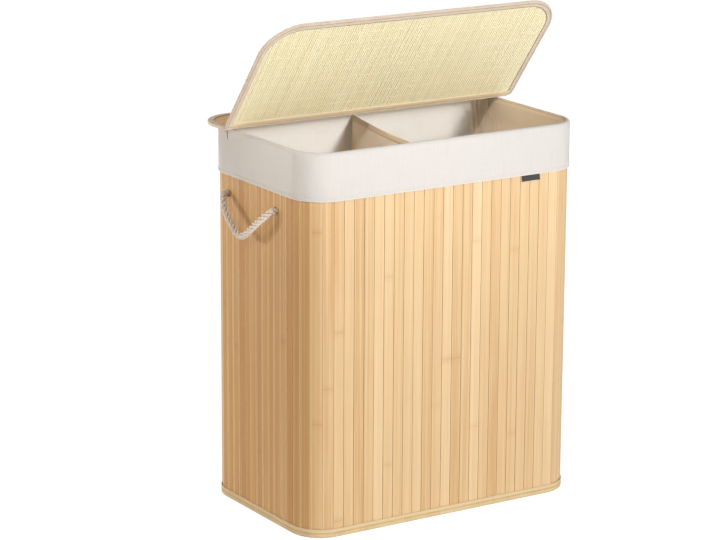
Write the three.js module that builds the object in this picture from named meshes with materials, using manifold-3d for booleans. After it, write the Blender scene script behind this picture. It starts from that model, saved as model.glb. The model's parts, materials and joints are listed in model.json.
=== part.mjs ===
// Laundry hamper with two bins.
// Upright bamboo slats are glued to a cloth and bent into a round-cornered wall. Steel hoops in sewn
// tapes stiffen its two edges, a bamboo mat makes the floor, and a cloth liner with a divider hangs
// inside and turns out over the rim as a cuff. The lid is a fixed rear strip and a front flap on a
// tape hinge, drawn here part-way open. A rope handle is knotted through each end wall.
// Millimetres. The origin is on the floor under the middle of the body: X runs left to right,
// Y front to back, and Z up.

import * as THREE from 'three';
import { mergeVertices } from 'three/addons/utils/BufferGeometryUtils.js';
import Module from 'manifold-3d';

const wasm = await Module();
wasm.setup();

// Body
const bodyWidth = 520;
const bodyDepth = 320;
const bodyHeight = 624;
const bodyCornerRadius = 55;
const fitGap = 0.3;

// Bamboo wall
const slatPitch = 18.5;
const slatThickness = 2;
const slatGrooveWidth = 1.2;
const slatGrooveDepth = 0.7;
const backingThickness = 0.5;

// Sewn edge tapes of the wall
const tapeThickness = 0.8;
const tapeHeight = 14.5;

// Floor mat
const floorMatThickness = 4;
const floorCoverThickness = 0.5;

// Liner, its cuff and its divider
const linerThickness = 0.8;
const linerEase = 3;
const linerFloorBevel = 9;
const cuffHeight = 77;
const cuffTurnIn = 22;
const cuffHemHeight = 6;
const cuffHemProud = 0.2;
const dividerThickness = 1.2;
const dividerHemThickness = 2.4;
const dividerHemHeight = 9;
const dividerRearShift = 13;
const dividerFrontShift = -6;
const dividerRearDrop = 17;
const dividerFrontDrop = 25;
const dividerSag = 6;

// Label sewn under the cuff
const labelWidth = 35;
const labelShownHeight = 10;
const labelTuck = 6;
const labelThickness = 0.6;
const labelFromSide = 102;

// Lid
const lidSideOverhang = 17;
const lidRearOverhang = 11;
const lidFrontOverhang = 0.7;
const lidCornerRadius = 64;
const lidHingeCornerRadius = 7;
const lidStripDepth = 98;
const lidHingeEdgeGap = 0.6;
const lidSlatThickness = 1.7;
const lidBindingThickness = 0.6;
const lidBindingWidth = 11;
const lidBindingEdgeRound = 1.2;
const lidRestDegrees = 51.7;
const reedPitch = 4;
const reedMatThickness = 1.2;
const reedRidge = 0.5;
const hingeTapeThickness = 0.5;
const hingeTapeLeafWidth = 12;

// Elastic ties that hold the rear strip down through slits in the cuff
const slitBehindHinge = 17;
const slitDepth = 17;
const slitWidth = 2.4;
const tieDiameter = 1.4;
const tieKnotDiameter = 2.3;
const tieTail = 3;

// Rope handles
const ropeDiameter = 11;
const ropeHoleClearance = 1;
const ropeHoleFromBend = 30.5;
const ropeHolesBehindMiddle = 18.5;
const ropeHoleBelowCuff = 30;
const ropePivotFromWall = 7;
const ropeDrop = 53;
const ropeStandOff = 14;
const ropeKnotDiameter = 19;
const ropeKnotLength = 13;
const linerBulgeReach = 34;

// Facet counts
const cornerSteps = 5;
const bendSteps = 4;
const wireSides = 6;
const ropeSides = 8;
const ropeSteps = 24;
const roundSides = 12;
const linerSideSteps = 15;
const sagSteps = 10;

// Depths below the outermost cloth, worked inwards layer by layer
const cuffInnerDepth = linerThickness + cuffHemProud;
const tapeOuterDepth = cuffInnerDepth + fitGap;
const slatOuterDepth = tapeOuterDepth + tapeThickness + fitGap;
const slatInnerDepth = slatOuterDepth + slatThickness;
const backingOuterDepth = slatInnerDepth + fitGap;
const backingInnerDepth = backingOuterDepth + backingThickness;
const tapeInnerDepth = backingInnerDepth + fitGap + tapeThickness;
const linerOuterDepth = tapeInnerDepth + linerEase;
const linerInnerDepth = linerOuterDepth + linerThickness;

// Levels of the two wall edges
const cuffCrownRadius = (linerInnerDepth - cuffHemProud) / 2;
const tapeCrownRadius = (tapeInnerDepth - tapeOuterDepth) / 2;
const hoopDepth = (tapeInnerDepth + tapeOuterDepth) / 2;
const hoopRadius = (backingInnerDepth - slatOuterDepth) / 2;
const topHoopLevel = bodyHeight - cuffCrownRadius;
const bottomHoopLevel = tapeCrownRadius;
const slatTop = topHoopLevel - hoopRadius - fitGap;
const slatBottom = bottomHoopLevel + hoopRadius + fitGap;
const cuffBottom = bodyHeight - cuffHeight;
const ropeHoleLevel = cuffBottom - ropeHoleBelowCuff;

// Places along the body
const ropeHoleSpacing = bodyDepth - 2 * bodyCornerRadius - 2 * ropeHoleFromBend;
const lidWidth = bodyWidth + 2 * lidSideOverhang;
const lidHingeBehindMiddle = bodyDepth / 2 + lidRearOverhang - lidStripDepth - lidHingeEdgeGap;
const lidFlapLength = lidHingeBehindMiddle - lidHingeEdgeGap + bodyDepth / 2 + lidFrontOverhang;

// Round-cornered outlines and the skins lofted through them

// A rounded rectangle. Its points, pulled in by a depth, run counter-clockwise from the right side.
function roundedOutline(halfWidth, halfDepth, rearRadius, frontRadius) {
  const corners = [
    { x: 1, y: 1, full: rearRadius },
    { x: -1, y: 1, full: rearRadius },
    { x: -1, y: -1, full: frontRadius },
    { x: 1, y: -1, full: frontRadius },
  ];
  const cornerPoints = (corner, index, depth) => {
    const radius = Math.max(corner.full - depth, fitGap);
    const centreX = corner.x * (halfWidth - depth - radius);
    const centreY = corner.y * (halfDepth - depth - radius);
    return Array.from({ length: cornerSteps + 1 }, (_, step) => {
      const angle = (index + step / cornerSteps) * Math.PI / 2;
      return new THREE.Vector2(centreX + radius * Math.cos(angle), centreY + radius * Math.sin(angle));
    });
  };
  const points = (depth) => corners.flatMap((corner, index) => cornerPoints(corner, index, depth));
  return { halfWidth, halfDepth, points };
}

function signedVolume(positions, indices) {
  const corner = [new THREE.Vector3(), new THREE.Vector3(), new THREE.Vector3()];
  let volume = 0;
  for (let first = 0; first < indices.length; first += 3) {
    corner.forEach((vertex, side) => vertex.fromArray(positions, 3 * indices[first + side]));
    volume += corner[0].dot(corner[1].clone().cross(corner[2])) / 6;
  }
  return volume;
}

// A closed skin through rings of points that all have the same count. A wrapped skin joins its last
// ring to its first, and any other has its two end rings filled flat.
function loft(rings, wrapped) {
  const count = rings[0].length;
  const positions = rings.flat().flatMap((point) => point.toArray());
  const indices = [];
  const bands = wrapped ? rings.length : rings.length - 1;
  for (let band = 0; band < bands; band++) {
    const low = band * count;
    const high = ((band + 1) % rings.length) * count;
    for (let place = 0; place < count; place++) {
      const next = (place + 1) % count;
      indices.push(low + place, low + next, high + next);
      indices.push(low + place, high + next, high + place);
    }
  }
  if (!wrapped) {
    const last = (rings.length - 1) * count;
    const flat = (ring) => ring.map((point) => new THREE.Vector2(point.x, point.y));
    for (const [a, b, c] of THREE.ShapeUtils.triangulateShape(flat(rings[0]), [])) {
      indices.push(a, c, b);
    }
    for (const [a, b, c] of THREE.ShapeUtils.triangulateShape(flat(rings[rings.length - 1]), [])) {
      indices.push(last + a, last + b, last + c);
    }
  }
  if (signedVolume(positions, indices) < 0) indices.reverse();
  const geometry = new THREE.BufferGeometry();
  geometry.setAttribute('position', new THREE.Float32BufferAttribute(positions, 3));
  geometry.setIndex(indices);
  return geometry;
}

// Runs a closed section of depths and levels once round an outline.
function sweepRound(outline, section) {
  const rings = section.map(([depth, level]) => (
    outline.points(depth).map((point) => new THREE.Vector3(point.x, point.y, level))
  ));
  return loft(rings, true);
}

// Points of an arc in a section, from one angle to another in quarter turns.
function sectionArc(depth, level, radius, fromQuarter, toQuarter, steps) {
  const points = [];
  for (let step = 0; step <= steps; step++) {
    const angle = (fromQuarter + (toQuarter - fromQuarter) * step / steps) * Math.PI / 2;
    points.push([depth + radius * Math.cos(angle), level + radius * Math.sin(angle)]);
  }
  return points;
}

// Solids to cut and join

function toSolid(geometry) {
  const bare = new THREE.BufferGeometry();
  bare.setAttribute('position', geometry.getAttribute('position'));
  bare.setIndex(geometry.getIndex());
  const merged = mergeVertices(bare);
  return new wasm.Manifold(new wasm.Mesh({
    numProp: 3,
    vertProperties: new Float32Array(merged.getAttribute('position').array),
    triVerts: new Uint32Array(merged.getIndex().array),
  }));
}

function toGeometry(solid) {
  const mesh = solid.getMesh();
  const geometry = new THREE.BufferGeometry();
  geometry.setAttribute('position', new THREE.BufferAttribute(mesh.vertProperties, 3));
  geometry.setIndex(new THREE.BufferAttribute(mesh.triVerts, 1));
  return geometry;
}

function cut(geometry, tools) {
  const solid = tools.reduce((rest, tool) => rest.subtract(toSolid(tool)), toSolid(geometry));
  return toGeometry(solid);
}

function overlapOf(geometry, other) {
  return toGeometry(toSolid(geometry).intersect(toSolid(other)));
}

function joined(geometries) {
  const [first, ...rest] = geometries.map(toSolid);
  return toGeometry(rest.reduce((whole, solid) => whole.add(solid), first));
}

// An outline raised into a slab between two levels.
function slab(outline, depth, bottom, top) {
  const shape = new THREE.Shape(outline.points(depth));
  const geometry = new THREE.ExtrudeGeometry(shape, { depth: top - bottom, bevelEnabled: false });
  return geometry.translate(0, 0, bottom);
}

// The finishes of the pieces

function finish(color, roughness, metalness = 0) {
  return new THREE.MeshStandardMaterial({ color, roughness, metalness });
}

const finishes = {
  bamboo: finish(0xe3ba82, 0.45),
  lidBamboo: finish(0xd9a765, 0.45),
  reed: finish(0xebe0b0, 0.6),
  linen: finish(0xefeae4, 0.95),
  liner: finish(0xe9e3d6, 0.95),
  backing: finish(0x3c352c, 0.95),
  bottomTape: finish(0xe2caa4, 0.95),
  lidTape: finish(0xd6bc96, 0.95),
  rope: finish(0xe6dccb, 0.95),
  label: finish(0x18171a, 0.8),
  elastic: finish(0xf0ece4, 0.9),
  steel: finish(0xa9adb0, 0.35, 1),
};

const hamper = new THREE.Group();

function addPiece(group, name, geometry, material) {
  const mesh = new THREE.Mesh(geometry, material);
  mesh.name = name;
  group.add(mesh);
  return mesh;
}

// Rope holes through the two end walls

const sides = [
  { name: 'left', sign: -1 },
  { name: 'right', sign: 1 },
];
const ropeHoles = [
  { name: 'front', y: ropeHolesBehindMiddle - ropeHoleSpacing / 2 },
  { name: 'rear', y: ropeHolesBehindMiddle + ropeHoleSpacing / 2 },
];

function ropeHoleTools(sign) {
  const radius = ropeDiameter / 2 + ropeHoleClearance;
  return ropeHoles.map((hole) => {
    const tool = new THREE.CylinderGeometry(radius, radius, 2 * bodyCornerRadius, roundSides);
    tool.rotateZ(Math.PI / 2);
    return tool.translate(sign * bodyWidth / 2, hole.y, ropeHoleLevel);
  });
}

// Bamboo wall: slats butted edge to edge along one line round the body

const wallRadius = Math.max(bodyCornerRadius - slatOuterDepth, fitGap);
const frontRun = bodyWidth - 2 * slatOuterDepth - 2 * wallRadius;
const sideRun = bodyDepth - 2 * slatOuterDepth - 2 * wallRadius;

// Straight and round runs of the wall line, from the middle of the front round to it again.
function wallRuns() {
  const corners = [
    { name: 'front_right_corner_slats', flat: 'right_slats', x: 1, y: -1 },
    { name: 'rear_right_corner_slats', flat: 'rear_slats', x: 1, y: 1 },
    { name: 'rear_left_corner_slats', flat: 'left_slats', x: -1, y: 1 },
    { name: 'front_left_corner_slats', flat: 'front_slats', x: -1, y: -1 },
  ];
  const runs = [{ name: 'front_slats', length: frontRun / 2, x: 0, y: -1, turn: -1, flat: true }];
  corners.forEach((corner, index) => {
    const flatLength = index === 3 ? frontRun / 2 : [sideRun, frontRun][index % 2];
    runs.push({ ...corner, length: wallRadius * Math.PI / 2, turn: index - 1, flat: false });
    runs.push({ name: corner.flat, length: flatLength, x: corner.x, y: corner.y, turn: index, flat: true });
  });
  return runs;
}

const runs = wallRuns();
const wallLength = runs.reduce((sum, run) => sum + run.length, 0);

// The point of the wall line at a distance from the middle of the front, with its outward normal.
function wallPlace(distance) {
  let rest = ((distance % wallLength) + wallLength) % wallLength;
  let index = 0;
  while (index < runs.length - 1 && rest > runs[index].length) {
    rest -= runs[index].length;
    index += 1;
  }
  const run = runs[index];
  const quarter = run.flat ? run.turn : run.turn + rest / run.length;
  const angle = quarter * Math.PI / 2;
  const normal = new THREE.Vector2(Math.cos(angle), Math.sin(angle));
  const along = new THREE.Vector2(-normal.y, normal.x);
  const centre = new THREE.Vector2(run.x * frontRun / 2, run.y * sideRun / 2);
  const point = centre.addScaledVector(normal, wallRadius);
  if (run.flat) point.addScaledVector(along, rest);
  return { index, point, normal };
}

// The run that a slat belongs to: a flat one, or the corner that it touches.
function slatRun(slat) {
  const from = runs[slat.from.index];
  const to = runs[slat.to.index];
  if (from.name === to.name) return from;
  return from.flat ? runs[slat.from.index + 1] : from;
}

function slatsOfWall() {
  const count = Math.max(Math.round(wallLength / slatPitch), runs.length);
  const pitch = wallLength / count;
  return Array.from({ length: count }, (_, index) => ({
    from: wallPlace((index - 0.5) * pitch),
    to: wallPlace((index + 0.5) * pitch),
  }));
}

const slats = slatsOfWall();

// Joints at which the wall bends. The cloths, tapes and hoops bend there with it.
const bendJoints = slats
  .filter((slat, index) => !slatRun(slat).flat || !slatRun(slats.at(index - 1)).flat)
  .map((slat) => slat.from);

const wallOutline = {
  halfWidth: bodyWidth / 2,
  halfDepth: bodyDepth / 2,
  points: (depth) => bendJoints.map((joint) => (
    joint.point.clone().addScaledVector(joint.normal, slatOuterDepth - depth)
  )),
};

// Groups neighbouring slats into the flat and corner sheets of the wall.
function wallSheets() {
  const nameOf = (slat) => slatRun(slat).name;
  const start = slats.findIndex((slat, index) => (
    nameOf(slat) !== nameOf(slats[(index + slats.length - 1) % slats.length])
  ));
  const sheets = new Map();
  slats.forEach((_, index) => {
    const slat = slats[(start + index) % slats.length];
    const name = nameOf(slat);
    sheets.set(name, [...(sheets.get(name) ?? []), slat]);
  });
  return sheets;
}

// Plan of a sheet: a groove at each joint outside, and the smooth glued side inside.
function sheetPlan(sheet) {
  const outer = [];
  const inner = [];
  sheet.forEach((slat, index) => {
    const along = slat.to.point.clone().sub(slat.from.point).normalize();
    const isFirst = index === 0;
    const isLast = index === sheet.length - 1;
    const start = slat.from.point.clone().addScaledVector(along, isFirst ? fitGap / 2 : 0);
    const end = slat.to.point.clone().addScaledVector(along, isLast ? -fitGap / 2 : 0);
    outer.push(start.clone().addScaledVector(slat.from.normal, -slatGrooveDepth));
    outer.push(start.clone().addScaledVector(along, slatGrooveWidth / 2));
    outer.push(end.clone().addScaledVector(along, -slatGrooveWidth / 2));
    inner.push(start.clone().addScaledVector(slat.from.normal, -slatThickness));
    if (isLast) {
      outer.push(end.clone().addScaledVector(slat.to.normal, -slatGrooveDepth));
      inner.push(end.clone().addScaledVector(slat.to.normal, -slatThickness));
    }
  });
  return [...outer, ...inner.reverse()];
}

for (const [name, sheet] of wallSheets()) {
  const plan = new THREE.Shape(sheetPlan(sheet));
  const height = slatTop - slatBottom;
  const upright = new THREE.ExtrudeGeometry(plan, { depth: height, bevelEnabled: false });
  upright.translate(0, 0, slatBottom);
  const tools = sides.filter((side) => name.includes(side.name))
    .flatMap((side) => ropeHoleTools(side.sign));
  addPiece(hamper, name, tools.length ? cut(upright, tools) : upright, finishes.bamboo);
}

// Cloth that the slats are glued to

const backing = sweepRound(wallOutline, [
  [backingOuterDepth, slatBottom],
  [backingInnerDepth, slatBottom],
  [backingInnerDepth, slatTop],
  [backingOuterDepth, slatTop],
]);
addPiece(
  hamper,
  'wall_backing_cloth',
  cut(backing, sides.flatMap((side) => ropeHoleTools(side.sign))),
  finishes.backing,
);

// Tapes folded over the two edges of the wall, each round a steel hoop

// Section of an edge tape. It opens upwards with turn 1, and downwards with turn -1.
function edgeTapeSection(hoopLevel, turn) {
  const legEnd = hoopLevel + turn * (tapeHeight - tapeCrownRadius);
  const innerRadius = tapeCrownRadius - tapeThickness;
  return [
    [tapeOuterDepth, legEnd],
    ...sectionArc(hoopDepth, hoopLevel, tapeCrownRadius, 2, 2 + 2 * turn, bendSteps),
    [tapeInnerDepth, legEnd],
    [tapeInnerDepth - tapeThickness, legEnd],
    ...sectionArc(hoopDepth, hoopLevel, innerRadius, 2 + 2 * turn, 2, bendSteps),
    [tapeOuterDepth + tapeThickness, legEnd],
  ];
}

for (const edge of [
  { name: 'top', level: topHoopLevel, turn: -1, material: finishes.linen },
  { name: 'bottom', level: bottomHoopLevel, turn: 1, material: finishes.bottomTape },
]) {
  const tape = sweepRound(wallOutline, edgeTapeSection(edge.level, edge.turn));
  const wire = sectionArc(hoopDepth, edge.level, hoopRadius, 0, 4, wireSides).slice(1);
  addPiece(hamper, `${edge.name}_edge_tape`, tape, edge.material);
  addPiece(hamper, `${edge.name}_hoop`, sweepRound(wallOutline, wire), finishes.steel);
}

// Sheets of parallel strips for the floor and the lid

// Section of a sheet across its strips: flat below, with a groove at each joint above.
function groovedSection(width, pitch, thickness, grooveWidth, grooveDepth) {
  const count = Math.max(Math.round(width / pitch), 1);
  const points = [new THREE.Vector2(-width / 2, 0), new THREE.Vector2(width / 2, 0)];
  points.push(new THREE.Vector2(width / 2, thickness));
  for (let joint = count - 1; joint > 0; joint--) {
    const place = (joint / count - 0.5) * width;
    points.push(new THREE.Vector2(place + grooveWidth / 2, thickness));
    points.push(new THREE.Vector2(place, thickness - grooveDepth));
    points.push(new THREE.Vector2(place - grooveWidth / 2, thickness));
  }
  points.push(new THREE.Vector2(-width / 2, thickness));
  return points;
}

// Section of a mat of fine reeds: flat above, with a ridge for each reed below.
function reedSection(width) {
  const count = Math.max(Math.round(width / reedPitch), 1);
  const points = [];
  for (let reed = 0; reed < count; reed++) {
    points.push(new THREE.Vector2((reed / count - 0.5) * width, reedRidge));
    points.push(new THREE.Vector2(((reed + 0.5) / count - 0.5) * width, 0));
  }
  points.push(new THREE.Vector2(width / 2, reedRidge));
  points.push(new THREE.Vector2(width / 2, reedMatThickness));
  points.push(new THREE.Vector2(-width / 2, reedMatThickness));
  return points;
}

// Strips that run front to back, cut to an outline. Their lower face is at a level.
function stripsFrontToBack(section, outline, depth, bottom, thickness) {
  const run = 2 * outline.halfDepth;
  const strips = new THREE.ExtrudeGeometry(new THREE.Shape(section), { depth: run, bevelEnabled: false });
  strips.translate(0, 0, -run / 2);
  strips.rotateX(Math.PI / 2);
  strips.translate(0, 0, bottom);
  return overlapOf(strips, slab(outline, depth, bottom - thickness, bottom + 2 * thickness));
}

// Strips that run left to right, cut to an outline.
function stripsLeftToRight(section, outline, depth, bottom, thickness) {
  const run = 2 * outline.halfWidth;
  const strips = new THREE.ExtrudeGeometry(new THREE.Shape(section), { depth: run, bevelEnabled: false });
  strips.translate(0, 0, -run / 2);
  strips.rotateX(Math.PI / 2);
  strips.rotateZ(Math.PI / 2);
  strips.translate(0, 0, bottom);
  return overlapOf(strips, slab(outline, depth, bottom - thickness, bottom + 2 * thickness));
}

// Floor mat of short slats, with a cloth cover on top of it

const floorDepth = tapeInnerDepth + fitGap;
const floorSection = groovedSection(
  bodyWidth - 2 * floorDepth,
  slatPitch,
  floorMatThickness,
  slatGrooveWidth,
  slatGrooveDepth,
);
addPiece(
  hamper,
  'floor_mat',
  stripsFrontToBack(floorSection, wallOutline, floorDepth, 0, floorMatThickness),
  finishes.bamboo,
);
const floorCoverBottom = floorMatThickness + fitGap;
const floorCoverTop = floorCoverBottom + floorCoverThickness;
addPiece(
  hamper,
  'floor_cover_cloth',
  slab(wallOutline, floorDepth, floorCoverBottom, floorCoverTop),
  finishes.backing,
);

// Liner bag, which bulges inwards round the rope knots

const linerBottom = floorCoverTop + fitGap;
const linerFloorTop = linerBottom + linerThickness;
const linerTop = bodyHeight - cuffTurnIn - fitGap;

// The body's outline with more points along its two straight sides, where the liner bulges.
function linerPoints(depth) {
  const points = wallOutline.points(depth);
  return points.flatMap((point, index) => {
    const next = (index + 1) % points.length;
    const run = runs[bendJoints[index].index];
    const onSide = run.flat && run.turn % 2 === 0 && run === runs[bendJoints[next].index];
    const steps = onSide ? linerSideSteps : 1;
    return Array.from({ length: steps }, (_, step) => point.clone().lerp(points[next], step / steps));
  });
}

function linerBulge(y, level) {
  const bulges = ropeHoles.map((hole) => {
    const reach = Math.hypot(y - hole.y, level - ropeHoleLevel) / linerBulgeReach;
    return reach < 1 ? ropeKnotLength * (1 + Math.cos(Math.PI * reach)) / 2 : 0;
  });
  return Math.max(...bulges);
}

function linerRing(depth, level) {
  return linerPoints(depth).map((point) => new THREE.Vector3(
    point.x - Math.sign(point.x) * linerBulge(point.y, level),
    point.y,
    level,
  ));
}

const bulgeRowShares = [-1, -0.5, 0, 0.5, 1];
const linerRows = bulgeRowShares.map((share) => ropeHoleLevel + share * linerBulgeReach);
linerRows.push(linerTop);
const linerSkin = [
  linerRing(linerOuterDepth + linerFloorBevel, linerBottom),
  linerRing(linerOuterDepth, linerBottom + linerFloorBevel),
  ...linerRows.map((level) => linerRing(linerOuterDepth, level)),
  ...linerRows.toReversed().map((level) => linerRing(linerInnerDepth, level)),
  linerRing(linerInnerDepth, linerFloorTop + linerFloorBevel),
  linerRing(linerInnerDepth + linerFloorBevel, linerFloorTop),
];
addPiece(hamper, 'liner_bag', loft(linerSkin, false), finishes.liner);

// Cuff: the top of the liner, turned out over the rim, with a slit at each end of the lid hinge

const cuffCrownDepth = cuffHemProud + cuffCrownRadius;
const cuffSection = [
  [cuffInnerDepth, cuffBottom],
  [0, cuffBottom],
  [0, cuffBottom + cuffHemHeight],
  [cuffHemProud, cuffBottom + cuffHemHeight],
  ...sectionArc(cuffCrownDepth, topHoopLevel, cuffCrownRadius, 2, 0, bendSteps),
  [linerInnerDepth, bodyHeight - cuffTurnIn],
  [linerOuterDepth, bodyHeight - cuffTurnIn],
  ...sectionArc(cuffCrownDepth, topHoopLevel, cuffCrownRadius - linerThickness, 0, 2, bendSteps),
];
const slitY = lidHingeBehindMiddle + slitBehindHinge;
const slitTools = sides.map((side) => {
  const across = 2 * (linerInnerDepth + fitGap);
  const tool = new THREE.BoxGeometry(across, slitWidth, 2 * slitDepth);
  return tool.translate(side.sign * bodyWidth / 2, slitY, bodyHeight);
});
addPiece(hamper, 'liner_cuff', cut(sweepRound(wallOutline, cuffSection), slitTools), finishes.linen);

// Divider: a hemmed cloth wall between the two bins, a little askew

const dividerHalfRun = bodyDepth / 2 - linerInnerDepth - fitGap;
const dividerBottom = linerFloorTop + fitGap;

// Level of the divider's top edge, from -1 at the front to 1 at the rear.
function dividerTop(share) {
  const drop = THREE.MathUtils.lerp(dividerFrontDrop, dividerRearDrop, (share + 1) / 2);
  return bodyHeight - drop - dividerSag * (1 - share * share);
}

// The sagging top edge from front to rear, lowered by a drop.
function dividerEdge(drop) {
  return Array.from({ length: sagSteps + 1 }, (_, step) => {
    const share = 2 * step / sagSteps - 1;
    return new THREE.Vector2(share * dividerHalfRun, dividerTop(share) - drop);
  });
}

function dividerPanel(thickness, lowerEdge) {
  const shape = new THREE.Shape([...dividerEdge(0), ...lowerEdge]);
  const panel = new THREE.ExtrudeGeometry(shape, { depth: thickness, bevelEnabled: false });
  panel.translate(0, 0, -thickness / 2);
  panel.rotateX(Math.PI / 2);
  return panel.rotateZ(Math.PI / 2);
}

// The foot follows the bevel between the liner's floor and its walls.
const dividerFoot = [
  new THREE.Vector2(dividerHalfRun, dividerBottom + linerFloorBevel),
  new THREE.Vector2(dividerHalfRun - linerFloorBevel, dividerBottom),
  new THREE.Vector2(linerFloorBevel - dividerHalfRun, dividerBottom),
  new THREE.Vector2(-dividerHalfRun, dividerBottom + linerFloorBevel),
];
const divider = joined([
  dividerPanel(dividerThickness, dividerFoot),
  dividerPanel(dividerHemThickness, dividerEdge(dividerHemHeight).reverse()),
]);
const skew = (dividerRearShift - dividerFrontShift) / (2 * dividerHalfRun);
divider.applyMatrix4(new THREE.Matrix4().makeShear(0, 0, skew, 0, 0, 0));
divider.translate((dividerRearShift + dividerFrontShift) / 2, 0, 0);
addPiece(hamper, 'liner_divider', divider, finishes.liner);

// Label: a folded ribbon whose upper end is sewn behind the cuff

const labelFront = cuffInnerDepth + fitGap;
const labelSection = [
  [-labelThickness / 2, cuffBottom + labelTuck],
  ...sectionArc(0, cuffBottom - labelShownHeight + labelThickness / 2, labelThickness / 2, 2, 4, bendSteps),
  [labelThickness / 2, cuffBottom + labelTuck],
];
const labelShape = new THREE.Shape(labelSection.map(([y, z]) => new THREE.Vector2(y, z)));
const label = new THREE.ExtrudeGeometry(labelShape, { depth: labelWidth, bevelEnabled: false });
label.translate(0, 0, -labelWidth / 2);
label.rotateX(Math.PI / 2);
label.rotateZ(Math.PI / 2);
label.translate(
  bodyWidth / 2 - labelFromSide,
  labelThickness / 2 + labelFront - bodyDepth / 2,
  0,
);
addPiece(hamper, 'label_tab', label, finishes.label);

// Lid panels: slats above and a reed mat below, in a folded tape that binds their edges

const lidMatLevel = lidBindingThickness + fitGap;
const lidSlatLevel = lidMatLevel + reedMatThickness + fitGap;
const lidThickness = lidSlatLevel + lidSlatThickness + fitGap + lidBindingThickness;
const lidPanelDepth = lidBindingThickness + fitGap;

// Section of the binding, opening towards the panel.
function bindingSection() {
  const round = Math.min(lidBindingEdgeRound, lidThickness / 2);
  return [
    [lidBindingWidth, 0],
    ...sectionArc(round, round, round, 3, 2, bendSteps / 2),
    ...sectionArc(round, lidThickness - round, round, 2, 1, bendSteps / 2),
    [lidBindingWidth, lidThickness],
    [lidBindingWidth, lidThickness - lidBindingThickness],
    [lidBindingThickness, lidThickness - lidBindingThickness],
    [lidBindingThickness, lidBindingThickness],
    [lidBindingWidth, lidBindingThickness],
  ];
}

// The three pieces of a lid panel, with its outline centred and its underside at level 0.
function addLidPanel(group, name, outline) {
  const width = 2 * outline.halfWidth;
  const run = 2 * outline.halfDepth;
  const slatSection = groovedSection(run, slatPitch, lidSlatThickness, slatGrooveWidth, slatGrooveDepth);
  const pieces = [
    [
      `${name}_slats`,
      stripsLeftToRight(slatSection, outline, lidPanelDepth, lidSlatLevel, lidSlatThickness),
      finishes.lidBamboo,
    ],
    [
      `${name}_reed_mat`,
      stripsFrontToBack(reedSection(width), outline, lidPanelDepth, lidMatLevel, reedMatThickness),
      finishes.reed,
    ],
    [`${name}_binding`, sweepRound(outline, bindingSection()), finishes.lidTape],
  ];
  pieces.forEach(([pieceName, geometry, material]) => addPiece(group, pieceName, geometry, material));
}

// Tape hinge: a leaf sewn on each panel, and a welt at the fold that stays with the flap.
const hingeAxisAbovePanel = fitGap + hingeTapeThickness + fitGap / 2;
const weltRadius = hingeAxisAbovePanel - fitGap;
const hingeTapeLength = lidWidth - 2 * lidHingeCornerRadius;

function alongHinge(points) {
  const shape = new THREE.Shape(points.map(([y, z]) => new THREE.Vector2(y, z)));
  const piece = new THREE.ExtrudeGeometry(shape, { depth: hingeTapeLength, bevelEnabled: false });
  piece.translate(0, 0, -hingeTapeLength / 2);
  piece.rotateX(Math.PI / 2);
  return piece.rotateZ(Math.PI / 2);
}

// A leaf as a section about the hinge axis, from one distance to another.
function leafSection(from, to) {
  const bottom = fitGap - hingeAxisAbovePanel;
  const top = bottom + hingeTapeThickness;
  return [[from, bottom], [to, bottom], [to, top], [from, top]];
}

const lidBottom = bodyHeight + fitGap;
const hingeLevel = lidBottom + lidThickness + hingeAxisAbovePanel;

const lidStrip = new THREE.Group();
lidStrip.position.set(0, lidHingeBehindMiddle + lidHingeEdgeGap + lidStripDepth / 2, lidBottom);
hamper.add(lidStrip);
const stripOutline = roundedOutline(lidWidth / 2, lidStripDepth / 2, lidCornerRadius, lidHingeCornerRadius);
addLidPanel(lidStrip, 'lid_strip', stripOutline);

const hinge = new THREE.Group();
hinge.position.set(0, lidHingeBehindMiddle, hingeLevel);
hamper.add(hinge);
addPiece(
  hinge,
  'lid_strip_hinge_leaf',
  alongHinge(leafSection(weltRadius + fitGap, hingeTapeLeafWidth)),
  finishes.lidTape,
);

const flap = new THREE.Group();
flap.rotation.x = -THREE.MathUtils.degToRad(lidRestDegrees);
hinge.add(flap);
addPiece(
  flap,
  'lid_flap_hinge_leaf',
  joined([
    alongHinge(leafSection(-hingeTapeLeafWidth, 0)),
    alongHinge(sectionArc(0, 0, weltRadius, 0, 4, roundSides).slice(1)),
  ]),
  finishes.lidTape,
);
const flapPanel = new THREE.Group();
flapPanel.position.set(0, -lidHingeEdgeGap - lidFlapLength / 2, -lidThickness - hingeAxisAbovePanel);
flap.add(flapPanel);
const flapOutline = roundedOutline(lidWidth / 2, lidFlapLength / 2, lidHingeCornerRadius, lidCornerRadius);
addLidPanel(flapPanel, 'lid_flap', flapOutline);

// Elastic ties of the rear strip, knotted under the inner leg of the top tape

const tieDepth = tapeInnerDepth + linerEase / 2;
const tieTop = lidBottom + lidMatLevel - fitGap;
const tieKnotTop = topHoopLevel + tapeCrownRadius - tapeHeight - fitGap;
for (const side of sides) {
  const profile = [
    [0, tieKnotTop - tieKnotDiameter - tieTail],
    [tieDiameter / 2, tieKnotTop - tieKnotDiameter - tieTail],
    [tieDiameter / 2, tieKnotTop - tieKnotDiameter],
    [tieKnotDiameter / 2, tieKnotTop - tieKnotDiameter / 2],
    [tieDiameter / 2, tieKnotTop],
    [tieDiameter / 2, tieTop],
    [0, tieTop],
  ].map(([radius, level]) => new THREE.Vector2(radius, level));
  const tie = new THREE.LatheGeometry(profile, roundSides / 2);
  tie.rotateX(Math.PI / 2);
  tie.translate(side.sign * (bodyWidth / 2 - tieDepth), slitY, 0);
  addPiece(hamper, `${side.name}_lid_tie`, tie, finishes.elastic);
}

// Rope handles: a knotted end behind the wall at each hole, and the loop that swings outside

const ropeRadius = ropeDiameter / 2;
const knotShares = [[0, 0], [0.45, 0], [0.9, 0.22], [1, 0.5], [0.86, 0.8]];

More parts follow.
